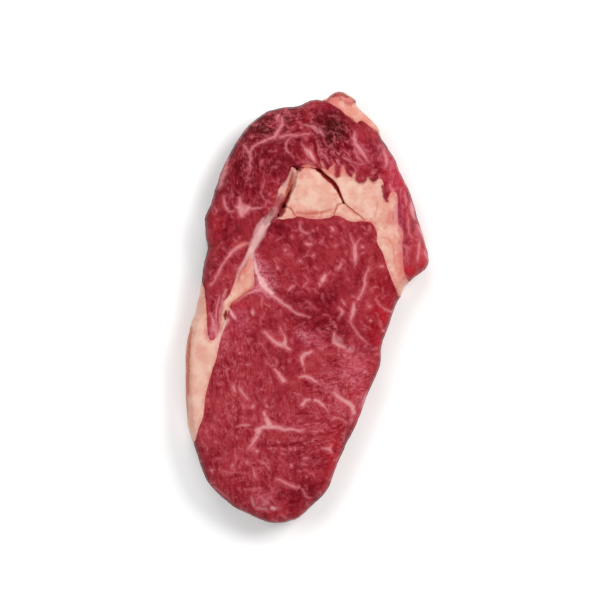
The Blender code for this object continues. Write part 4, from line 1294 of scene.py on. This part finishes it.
# The warm red on the right rims is partly painted light, and the cool red partly painted sheen.
PATCHES = {
    # name: patches, what every point has besides
    "thread": (HAIRY, HAIRS_EVERYWHERE),
    "warmth_and_rim_light": (WARMTHS_AND_RIM_LIGHT, 0.0),
    "coolness_and_sheen": (COOLNESS_AND_SHEEN, 0.0),
    "blush": (BLUSHES, 0.0),
    "stain": (STAINS, 0.0),
}


def add_field(mesh, name, values):
    kind = "FLOAT" if values.ndim == 1 else "FLOAT_VECTOR"
    field = mesh.attributes.new(name, kind, "POINT")
    field.data.foreach_set("value" if values.ndim == 1 else "vector", values.astype(np.float32).ravel())


def fields_at(points, fat_distance):
    """The fields of these points, by name."""
    face = read_grid(FACE, points[:, :2])
    depth = np.maximum(face - points[:, 2], 0.0)
    drifted = points[:, :2] + np.maximum(depth - RIM_DEPTH, 0.0)[:, None] * np.array(DRIFT)
    drawn = wandering(drifted)
    on_face = 1 - ease(depth, RIM_DEPTH, 2 * RIM_DEPTH)
    vein, vein_strength = distance_to_strokes(drawn, ALL_VEINS)
    inside = ease(read_grid(INNER, points[:, :2]), *CLEFT_INSIDE) * (points[:, 2] > CLEFT_ABOVE)
    tone = patches_at(points, TONES) * (LOW_TONES + (1 - LOW_TONES) * on_face)
    fields = {
        "fat": fat_distance,
        "vein": vein,
        "vein_strength": vein_strength * (LOW_THREADS + (1 - LOW_THREADS) * on_face),
        "cleft": np.clip(depth, 0, DEEPEST_CLEFT) * inside,
        "tone": tone - WALL_TONE * ease(depth, *WALL_STARTS),
        "grain": grain_shares(drifted),
        "flesh": np.column_stack([drifted, points[:, 2] * UP_AGAINST_ACROSS]),
    }
    for name, (patches, everywhere) in PATCHES.items():
        fields[name] = np.clip(everywhere + patches_at(points, patches), 0, 1)
    for name, (strokes, soft) in LAYERS.items():
        fields[name] = coverage(drawn, strokes_in_mm(strokes), soft) * on_face
    return fields


print("fields of strokes and patches:", ", ".join([*LAYERS, *PATCHES]))

# %% [markdown]
# ## Relief
#
# A cut face is nearly flat, but it is never smooth: bundles of fibre stand a few tenths of a millimetre
# proud where the knife dragged them, fat stays a little higher than the lean as the meat relaxes, and
# creases sink. Bumps in the materials could shade all of this, but at this size relief is worth real
# geometry, because it breaks up the sheen. Only the fibres themselves, finer than the mesh, are left to
# the materials.

# %% Displace the surface
LUMPS = ((6.0, 0.22, 1), (2.4, 0.13, 2))    # size in mm, height in mm, which pattern of noise
GRIT = (1.1, 0.09, 3)
LUMPS_ON_FAT = 0.45             # against 1 on lean
GRIT_ON_FAT = 0.25
LEAN_FROM = (-0.3, 0.5)         # mm from the fat between which fat turns into lean
THREAD_EDGE = (0.6, -0.6)       # mm outside and inside a thread between which it rises
THREAD_HEIGHT = 0.06            # mm, as are the next three
FAT_HEIGHT = 0.10
CREASE_DEPTH = 0.55
CRACK_SHADE_DEPTH = 0.25
CLEAR_OF_FLOOR = (0.4, 3.0)     # mm above the floor between which relief starts
CALM_IN_CRACKS = (0.2, 2.0)     # mm of depth in a crack between which it ends
PATTERN_SHIFT = (17.3, -9.1, 5.7)   # from one pattern of noise to the next


def noise_at(points, length, pattern):
    """Smooth noise from -1 to 1 that changes over this length in mm."""
    shift = Vector([pattern * step for step in PATTERN_SHIFT])
    return np.array([noise.noise(Vector(point) / length + shift) for point in points])


def relief(fields):
    """The height in mm by which each point stands out of the smooth surface."""
    flesh = fields["flesh"]
    lean = ease(fields["fat"], *LEAN_FROM)
    lumps = sum(height * noise_at(flesh, size, pattern) for size, height, pattern in LUMPS)
    size, height, pattern = GRIT
    grit = height * noise_at(flesh, size, pattern)
    total = lumps * (LUMPS_ON_FAT + (1 - LUMPS_ON_FAT) * lean)
    total += grit * (GRIT_ON_FAT + (1 - GRIT_ON_FAT) * lean)
    total += THREAD_HEIGHT * ease(fields["vein"], *THREAD_EDGE) * fields["vein_strength"]
    total += FAT_HEIGHT * (1 - lean)
    return total - CREASE_DEPTH * fields["crease_shade"] - CRACK_SHADE_DEPTH * fields["crack_shade"]


def displace(mesh, fields, at_seam):
    """Moves the points out by the relief, but never out of the CAD box, and gives seams level normals."""
    points = points_of(mesh)
    normals = normals_of(mesh)
    normals[at_seam] = (0, 0, 1)
    clear_of_floor = ease(points[:, 2], *CLEAR_OF_FLOOR)
    calm_in_cracks = 1 - ease(fields["cleft"], *CALM_IN_CRACKS)
    points += normals * (relief(fields) * clear_of_floor * calm_in_cracks)[:, None]
    low, high = (np.array(corner) / MM for corner in CAD_BOX)
    set_points(mesh, np.clip(points, low, high))
    normals = normals_of(mesh)
    normals[at_seam] = (0, 0, 1)
    mesh.shade_smooth()
    mesh.normals_split_custom_set_from_vertices(normals.tolist())


print("lumps up to", sum(height for _, height, _ in LUMPS), "mm high")

# %% [markdown]
# ## Building blocks for the materials
#
# All the materials are made of nodes, and the same few kinds come back: a field of the mesh, noise, noise
# drawn out along a direction, a soft threshold and a blend of two colours. A short function for each
# keeps the materials below readable. Colours are given as they should look on the screen, and worked back
# from the light that falls on the face, which saves much trial.

# %% Colours, fields and sums
BRIGHTNESS = 1.32   # how bright a level white surface is in this light
GLOSS = 0.010       # what the gloss adds to every colour
DARKEST = 0.004     # no colour is darker than this before the light falls on it


def seen(red, green, blue):
    """The surface colour that looks like this one, from 0 to 255, once it is lit.

    The curve is the one by which a screen's values stand for amounts of light.
    """
    on_screen = [((c / 255 + 0.055) / 1.055) ** 2.4 for c in (red, green, blue)]
    return tuple(max(c - GLOSS, DARKEST) / BRIGHTNESS for c in on_screen) + (1.0,)


def feed(tree, socket, value):
    """Sets a socket to a number or a colour, or links another node's output to it."""
    if isinstance(value, bpy.types.NodeSocket):
        tree.links.new(value, socket)
    else:
        socket.default_value = value


def field(tree, name, output="Fac"):
    node = tree.nodes.new("ShaderNodeAttribute")
    node.attribute_name = name
    return node.outputs[output]


def calc(tree, operation, a, b=0.0):
    node = tree.nodes.new("ShaderNodeMath")
    node.operation = operation
    feed(tree, node.inputs[0], a)
    feed(tree, node.inputs[1], b)
    return node.outputs[0]


def add(tree, a, b):
    return calc(tree, "ADD", a, b)


def times(tree, a, b):
    return calc(tree, "MULTIPLY", a, b)


def threshold(tree, value, start, end):
    """0 where the value is at start, 1 where it is at end, and smooth between them."""
    node = tree.nodes.new("ShaderNodeMapRange")
    node.interpolation_type = "SMOOTHSTEP"
    feed(tree, node.inputs["Value"], value)
    node.inputs["From Min"].default_value = start
    node.inputs["From Max"].default_value = end
    return node.outputs[0]


print("a surface that looks mid grey here:", round(seen(128, 128, 128)[0], 3))

# %% Blends, ramps and noise
NOISE_MIDDLE = 0.5
STREAK_ROUGHNESS = 0.55


def blend(tree, share, a, b):
    """Colour a where the share is 0, and colour b where it is 1."""
    node = tree.nodes.new("ShaderNodeMix")
    node.data_type = "RGBA"
    # inputs 6 and 7 are its two colours
    feed(tree, node.inputs["Factor"], share)
    feed(tree, node.inputs[6], a)
    feed(tree, node.inputs[7], b)
    return node.outputs[2]


def ramp(tree, value, stops):
    node = tree.nodes.new("ShaderNodeValToRGB")
    feed(tree, node.inputs[0], value)
    elements = node.color_ramp.elements
    while len(elements) < len(stops):
        elements.new(0.5)
    for element, (position, colour) in zip(elements, stops):
        element.position = position
        element.color = colour
    return node.outputs[0]


def speckle(tree, where, length, detail=2.0, roughness=0.5):
    """Noise round 0.5 that changes over this length in mm."""
    node = tree.nodes.new("ShaderNodeTexNoise")
    feed(tree, node.inputs["Vector"], where)
    node.inputs["Scale"].default_value = 1.0 / length
    node.inputs["Detail"].default_value = detail
    node.inputs["Roughness"].default_value = roughness
    return node.outputs["Fac"]


def swing(tree, noise_value, amount):
    """How far the noise is above its middle, times an amount."""
    return times(tree, calc(tree, "SUBTRACT", noise_value, NOISE_MIDDLE), amount)


def drawn_out(tree, where, degrees, along, across):
    """The place turned and scaled, so that noise read there is drawn out along this direction."""
    node = tree.nodes.new("ShaderNodeMapping")
    node.vector_type = "TEXTURE"
    feed(tree, node.inputs["Vector"], where)
    node.inputs["Rotation"].default_value = (0.0, 0.0, math.radians(degrees))
    node.inputs["Scale"].default_value = (along, across, across)
    return node.outputs[0]


def streaks(tree, where, along, across, detail):
    """Noise drawn out along the local grain, as the sum of one noise for each direction times its share."""
    shares = tree.nodes.new("ShaderNodeSeparateXYZ")
    feed(tree, shares.inputs[0], field(tree, "grain", "Vector"))
    total = 0.0
    for share, degrees in zip(shares.outputs, GRAINS.values()):
        drawn = speckle(tree, drawn_out(tree, where, degrees, along, across), 1.0, detail, STREAK_ROUGHNESS)
        total = add(tree, total, times(tree, drawn, share))
    return total


print("directions of streaks:", len(GRAINS))

# %% [markdown]
# ## The red of the lean
#
# Raw beef is crimson, but on one face it runs from nearly black red to pink. A blend of two reds would
# look painted, so a colour ramp runs through five by a tone, which is the sum of the soft patches from
# above, wide mottling, smaller blotches, fine speckle and streaks along the grain. Over it lie hair-thin
# pale threads: the lines where drawn-out noise passes its middle value, because such lines are wavy and
# hardly ever cross.

# %% Lean
LEAN_REDS = (
    (0.00, seen(82, 19, 28)), (0.28, seen(121, 31, 40)), (0.50, seen(157, 49, 58)),
    (0.72, seen(180, 69, 77)), (1.00, seen(206, 107, 112)),
)
MIDDLE_RED = 0.5
# warmer red of the rims; on the right rims partly painted light
WARM_AND_RIM_LIGHT_RED = seen(196, 34, 48)
# cooler red where film shows through, partly painted sheen
COOL_AND_SHEEN_RED = seen(178, 44, 76)
HAIR_PINK = seen(214, 114, 124)
TONE_NOISE = ((9.0, 0.52), (3.0, 0.25), (0.6, 0.42))   # size in mm, and how much it moves the tone
STREAK_SIZE = (6.0, 1.4)        # mm along and across the grain
STREAK_AMOUNT = 0.76
PATCH_AMOUNT = 0.42
HAIR_WIDTH = 0.050              # how far from its middle the noise still makes a hair
HAIR_GAPS = (0.36, 0.66)        # values of noise between which hairs start to show
WARM_GAPS = (0.25, 0.65)        # the same for the warm red
MOST_WARM = 0.8
MOST_COOL = 0.6


def hairs(tree, flesh):
    """Hair-thin wavy threads along the grain: the places where drawn-out noise passes its middle value."""
    wavy = streaks(tree, flesh, *STREAK_SIZE, detail=1.5)
    off_middle = calc(tree, "ABSOLUTE", calc(tree, "SUBTRACT", wavy, NOISE_MIDDLE))
    line = threshold(tree, off_middle, HAIR_WIDTH, 0.0)
    some = threshold(tree, speckle(tree, flesh, length=3.0, detail=3.0), *HAIR_GAPS)
    return times(tree, times(tree, line, some), field(tree, "thread"))


def lean_colour(tree, flesh):
    tone = add(tree, MIDDLE_RED, times(tree, field(tree, "tone"), PATCH_AMOUNT))
    for size, amount in TONE_NOISE:
        tone = add(tree, tone, swing(tree, speckle(tree, flesh, size), amount))
    tone = add(tree, tone, swing(tree, streaks(tree, flesh, *STREAK_SIZE, detail=3.0), STREAK_AMOUNT))
    red = ramp(tree, tone, LEAN_REDS)
    # warm red: on the right rims partly painted light; cool red: partly painted sheen
    blotchy = threshold(tree, speckle(tree, flesh, length=4.0, detail=3.0), *WARM_GAPS)
    warm = times(tree, times(tree, field(tree, "warmth_and_rim_light"), MOST_WARM), blotchy)
    red = blend(tree, warm, red, WARM_AND_RIM_LIGHT_RED)
    red = blend(tree, times(tree, field(tree, "coolness_and_sheen"), MOST_COOL), red, COOL_AND_SHEEN_RED)
    return blend(tree, hairs(tree, flesh), red, HAIR_PINK)


print("reds of the lean:", len(LEAN_REDS))

# %% [markdown]
# ## The cream of the fat
#
# Hard fat is cream to buff in wide soft clouds. Blood flushes it pink, most of all near the lean, in
# small clouds and fine speckles elsewhere, and here and there it has a faint brown stain. A single noise
# between cream and pink looks like marble, so the flush is a sum, like the tone of the lean.

# %% Fat
FAT_CREAM = seen(240, 197, 179)
FAT_BUFF = seen(230, 171, 153)
FAT_PINK = seen(216, 122, 114)
STAIN_BROWN = seen(206, 140, 104)
BUFF_CLOUDS = (0.35, 0.65)  # values of noise between which cream turns into buff
FLUSH_FROM = (-2.6, 0.2)    # mm from the lean, inside the fat, at which its flush starts, and is full
FLUSH_AT_LEAN = 0.50
FLUSH_NOISE = ((2.2, 4.0, 1.1), (0.7, 2.0, 0.7))    # size in mm, detail, and how much it adds
MOST_STAIN = 0.5


def fat_colour(tree, flesh):
    clouds = threshold(tree, speckle(tree, flesh, length=7.0, detail=3.0), *BUFF_CLOUDS)
    cream = blend(tree, clouds, FAT_CREAM, FAT_BUFF)
    flush = times(tree, threshold(tree, field(tree, "fat"), *FLUSH_FROM), FLUSH_AT_LEAN)
    for size, detail, amount in FLUSH_NOISE:
        flush = add(tree, flush, swing(tree, speckle(tree, flesh, size, detail), amount))
    flush = add(tree, flush, field(tree, "blush"))
    pink = blend(tree, threshold(tree, flush, 0.0, 1.0), cream, FAT_PINK)
    return blend(tree, times(tree, field(tree, "stain"), MOST_STAIN), pink, STAIN_BROWN)


print("colours of the fat: cream, buff, pink and a brown stain")

# %% [markdown]
# ## Threads and borders
#
# A thread of fat is thin and pink at its edge, where lean shines through, and paler where it is thick.
# Its edge comes from the distance to the stroke, made ragged by noise in two sizes, and the larger
# threads have a soft pink halo, because fat spreads into the fibres round them. The border between a
# piece of fat and the lean is found in the same way, and lobules of lean may lie over it.

# %% Threads and borders
THREAD_THIN = seen(198, 92, 103)
THREAD_THICK = seen(219, 142, 146)
THREAD_CORE = seen(224, 160, 152)
THICK_AT = (0.1, -0.7)          # mm outside and inside a thread's edge at which it turns from thin to thick
CORE_AT = (-0.7, -1.5)          # the same from thick to core
THREAD_RAGGED = ((1.4, 3.0, 2.2), (0.55, 2.0, 1.3))     # size in mm, detail, and amount in mm
THREAD_SHOWS = (0.88, -0.48)    # mm at which it starts to show, and is full
HALO_SHOWS = (1.9, 0.0)
HALO_STRENGTHS = (0.60, 0.85)   # strengths of a stroke between which it gets a halo
MOST_HALO = 0.28
GAPS = 2.0                      # how much the noise takes from a thread's strength or adds to it
MOSTLY_WHOLE = 0.98             # what it has before; nearer to 1, it has fewer gaps
FAT_RAGGED = 1.6                # mm
FAT_SHOWS = (0.35, -0.30)       # mm outside and inside the fat's border between which it shows


def thread_share(tree, flesh):
    """How much of a thread of fat shows, and how much of the soft halo round it."""
    edge = field(tree, "vein")
    for length, detail, amount in THREAD_RAGGED:
        edge = add(tree, edge, swing(tree, speckle(tree, flesh, length, detail), amount))
    uneven = add(tree, swing(tree, speckle(tree, flesh, length=2.4, detail=2.0), GAPS), MOSTLY_WHOLE)
    strength = times(tree, field(tree, "vein_strength"), threshold(tree, uneven, 0.0, 1.0))
    named = threshold(tree, field(tree, "vein_strength"), *HALO_STRENGTHS)
    halo = times(tree, threshold(tree, edge, *HALO_SHOWS), named)
    return times(tree, threshold(tree, edge, *THREAD_SHOWS), strength), halo


def with_threads(tree, flesh, colour):
    """The colour with halos and threads over it."""
    thread = blend(tree, threshold(tree, field(tree, "vein"), *THICK_AT), THREAD_THIN, THREAD_THICK)
    thread = blend(tree, threshold(tree, field(tree, "vein"), *CORE_AT), thread, THREAD_CORE)
    share, halo = thread_share(tree, flesh)
    colour = blend(tree, times(tree, halo, MOST_HALO), colour, HAIR_PINK)
    return blend(tree, share, colour, thread)


def fat_share(tree, flesh):
    """1 in a piece of fat, 0 in the lean, with a ragged border."""
    ragged = swing(tree, speckle(tree, flesh, length=1.6, detail=4.0), FAT_RAGGED)
    share = threshold(tree, add(tree, field(tree, "fat"), ragged), *FAT_SHOWS)
    return times(tree, share, calc(tree, "SUBTRACT", 1.0, field(tree, "lobule")))


print("threads show from", THREAD_SHOWS[0], "mm outside their edge")

# %% [markdown]
# ## One graph for the whole face
#
# One graph colours every piece, lean or fat. Two separate ones would be simpler, but then the border
# would have to follow the seam between two solids exactly. With one, a ragged border can run across the
# seam. The order is that of the meat: lean, threads, pieces of fat, then the walls of open cracks, which
# turn from pink in the fat to deep red with depth, partly blood and partly painted shade, and on top the
# films and stains, with the painted sheen, highlights and shade, broken up by noise.

# %% Colour graph
# silverskin, and painted sheen on thin wet patches
FILM_AND_SHEEN_LILAC = seen(216, 166, 168)
# painted highlights, and pale edges of fat
PALE_AND_HIGHLIGHT_WHITE = seen(246, 190, 192)
# pale pink of the film, and painted sheen
BLOOM_AND_SHEEN_PINK = seen(222, 126, 142)
# dark rims of the lobules, and painted shade beside the left crack and along the lip's rim
DARK_RIM_AND_SHADE_MAUVE = seen(112, 36, 48)
# blood in the seams of the fat, and painted shade on the crack's slope and on rims
STAIN_AND_SHADE_BROWN = seen(192, 96, 66)
SALMON_PINK = seen(228, 138, 124)
# painted shade in the creases
CREASE_SHADE_RED = seen(104, 14, 22)
# painted shade in the mouths of the cracks and in the small hole
CRACK_SHADE_RED = seen(126, 14, 13)
# walls of open cracks, darker with depth: partly blood, partly painted shade
SHADED_CRACK_ROSE = seen(222, 110, 86)
SHADED_CRACK_RED = seen(150, 14, 12)
ROSE_FROM = (0.1, 0.6)      # mm of depth in a crack at which its walls turn rose, in fat
RED_FROM = (0.45, 1.4)      # and deep red
BREAKS = (0.40, 0.62)       # values of the noise at which an overlay has gaps, and at which it is whole
# Some overlays are painted light: sheen and highlights, and shade in creases, in the cracks' mouths and
# along rims.
OVERLAYS = (
    # layer, its colour, the size in mm of the gaps in it, how much of it is left in the gaps
    ("bloom_and_sheen", BLOOM_AND_SHEEN_PINK, 1.5, 0.20),
    ("salmon", SALMON_PINK, 1.5, 0.75),
    ("brown_stain_and_shade", STAIN_AND_SHADE_BROWN, 1.5, 0.8),
    ("film", FILM_AND_SHEEN_LILAC, 1.2, 0.7),
    ("pale_and_highlight", PALE_AND_HIGHLIGHT_WHITE, 1.2, 0.75),
    ("dark_rim_and_shade", DARK_RIM_AND_SHADE_MAUVE, 1.4, 0.75),
    ("crease_shade", CREASE_SHADE_RED, 1.5, 0.8),
    ("crack_shade", CRACK_SHADE_RED, 1.5, 0.95),
)


def meat_colour(tree, flesh):
    colour = with_threads(tree, flesh, lean_colour(tree, flesh))
    fat = fat_share(tree, flesh)
    colour = blend(tree, fat, colour, fat_colour(tree, flesh))
    # the walls of open cracks darken with depth, from rose in the fat to deep red: partly blood, partly
    # painted shade
    rose = times(tree, threshold(tree, field(tree, "cleft"), *ROSE_FROM), fat)
    colour = blend(tree, rose, colour, SHADED_CRACK_ROSE)
    colour = blend(tree, threshold(tree, field(tree, "cleft"), *RED_FROM), colour, SHADED_CRACK_RED)
    for layer, over, length, least in OVERLAYS:
        patchy = threshold(tree, speckle(tree, flesh, length, detail=3.0), *BREAKS)
        broken = add(tree, times(tree, patchy, 1.0 - least), least)
        colour = blend(tree, times(tree, field(tree, layer), broken), colour, over)
    return colour


print("overlays from below to the top:", ", ".join(layer for layer, _, _, _ in OVERLAYS))

# %% [markdown]
# ## Lean and fat as materials
#
# Lean is moist: a thin clear coat of juice over a softer surface, and light that goes a millimetre into
# the red. Fat is waxy, with a broader shine and light that goes further in. A glossy surface mirrors the
# white room at its rims and turns grey there, so both get a low index of refraction and little shine.
# Light that goes in would also make the dark cracks glow, so none does there. Fine bumps follow the
# grain, so that the sheen breaks up into short glints.

# %% Materials
LOOKS = {
    "lean": {"roughness": (0.26, 0.42), "specular": 0.16, "ior": 1.22, "coat": 0.03, "coat_roughness": 0.14,
             "depth": (1.1, 0.30, 0.25), "through": 0.10, "bump": 0.22},
    "fat": {"roughness": (0.36, 0.50), "specular": 0.15, "ior": 1.35, "coat": 0.03, "coat_roughness": 0.30,
            "depth": (1.6, 0.9, 0.6), "through": 0.12, "bump": 0.14},
}
WET_SPOT = 3.0              # mm
WETNESS = (0.3, 0.7)        # values of the noise between which roughness runs from its least to its most
BUMP_HEIGHT = 0.35          # mm
FIBRE = (4.0, 0.6)          # mm long and wide
GRAIN_OF_GRIT = 0.5         # mm
GRIT_SHARE = 0.5


def bumps(tree, flesh, strength):
    """Fine fibres and grit, which the mesh is too coarse for."""
    fibres = swing(tree, streaks(tree, flesh, *FIBRE, detail=3.0), 1.0)
    grit = swing(tree, speckle(tree, flesh, GRAIN_OF_GRIT, detail=3.0), GRIT_SHARE)
    node = tree.nodes.new("ShaderNodeBump")
    node.inputs["Strength"].default_value = strength
    node.inputs["Distance"].default_value = BUMP_HEIGHT * MM
    feed(tree, node.inputs["Height"], add(tree, fibres, grit))
    return node.outputs[0]


def uneven_roughness(tree, flesh, least, most):
    """Roughness that changes in spots, where the meat is wetter or drier."""
    node = tree.nodes.new("ShaderNodeMapRange")
    feed(tree, node.inputs["Value"], speckle(tree, flesh, WET_SPOT, detail=3.0))
    node.inputs["From Min"].default_value = WETNESS[0]
    node.inputs["From Max"].default_value = WETNESS[1]
    node.inputs["To Min"].default_value = least
    node.inputs["To Max"].default_value = most
    return node.outputs[0]


def light_inside(tree, through):
    """How much light goes in: the same everywhere, but none in the open cracks."""
    deep = threshold(tree, field(tree, "cleft"), *RED_FROM)
    open_crack = calc(tree, "MAXIMUM", field(tree, "crack_shade"), deep)
    return times(tree, calc(tree, "SUBTRACT", 1.0, open_crack), through)


def meat_material(name, roughness, specular, ior, coat, coat_roughness, depth, through, bump):
    look = bpy.data.materials.new(name)
    look.use_nodes = True
    tree = look.node_tree
    shader = tree.nodes["Principled BSDF"]
    flesh = field(tree, "flesh", "Vector")
    feed(tree, shader.inputs["Base Color"], meat_colour(tree, flesh))
    feed(tree, shader.inputs["Roughness"], uneven_roughness(tree, flesh, *roughness))
    feed(tree, shader.inputs["Normal"], bumps(tree, flesh, bump))
    feed(tree, shader.inputs["Subsurface Weight"], light_inside(tree, through))
    shader.inputs["Subsurface Radius"].default_value = depth
    shader.inputs["Subsurface Scale"].default_value = MM
    shader.inputs["Specular IOR Level"].default_value = specular
    shader.inputs["IOR"].default_value = ior
    shader.inputs["Coat Weight"].default_value = coat
    shader.inputs["Coat Roughness"].default_value = coat_roughness
    return look


MATERIALS = {slot: meat_material("raw_" + slot, **settings) for slot, settings in LOOKS.items()}
print("materials:", ", ".join(look.name for look in MATERIALS.values()))

# %% [markdown]
# ## Make the pieces
#
# Eight solids, eight pieces: two muscles and six pieces of fat. One mesh for the whole steak would be
# easier to shade, but each muscle and each piece of fat can be taken out of a real steak, so each stays a
# piece of its own. All go through the same steps: remesh, shape, fields, relief, material.

# %% Make the pieces
PIECES = {
    # node: piece, slot
    "eye_muscle": ("eye_of_the_steak", "lean"),
    "cap_muscle": ("cap_of_the_steak", "lean"),
    "fat_kernel": ("hard_fat", "fat"),
    "fat_chip": ("hard_fat_chip", "fat"),
    "fat_wedge": ("hard_fat_wedge", "fat"),
    "seam_fat": ("fat_seam", "fat"),
    "edge_fat": ("fat_edge", "fat"),
    "lip_fat": ("fat_lip", "fat"),
}


def make_piece(node, name, slot):
    fineness = FINENESS * 1.0
    made = fine_copy(node, name, fineness)
    mesh = made.data
    crack_distance, crack_depth = distance_to_strokes(points_of(mesh)[:, :2], strokes_in_mm(CRACKS))
    sign = 1.0 if slot == "lean" else -1.0
    other_kind = fat_tree if slot == "lean" else lean_tree
    rest = tree_of([other for other in PIECES if other != node])
    distance, at_seam = shape_piece(mesh, other_kind, rest, crack_distance, crack_depth)
    fields = fields_at(points_of(mesh), sign * distance)
    for field_name, values in fields.items():
        add_field(mesh, field_name, values)
    displace(mesh, fields, at_seam)
    mesh.materials.append(MATERIALS[slot])
    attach(made, "root")
    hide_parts(node)
    print(name, sum(len(face.vertices) - 2 for face in mesh.polygons), "triangles")


for node, (name, slot) in PIECES.items():
    make_piece(node, name, slot)
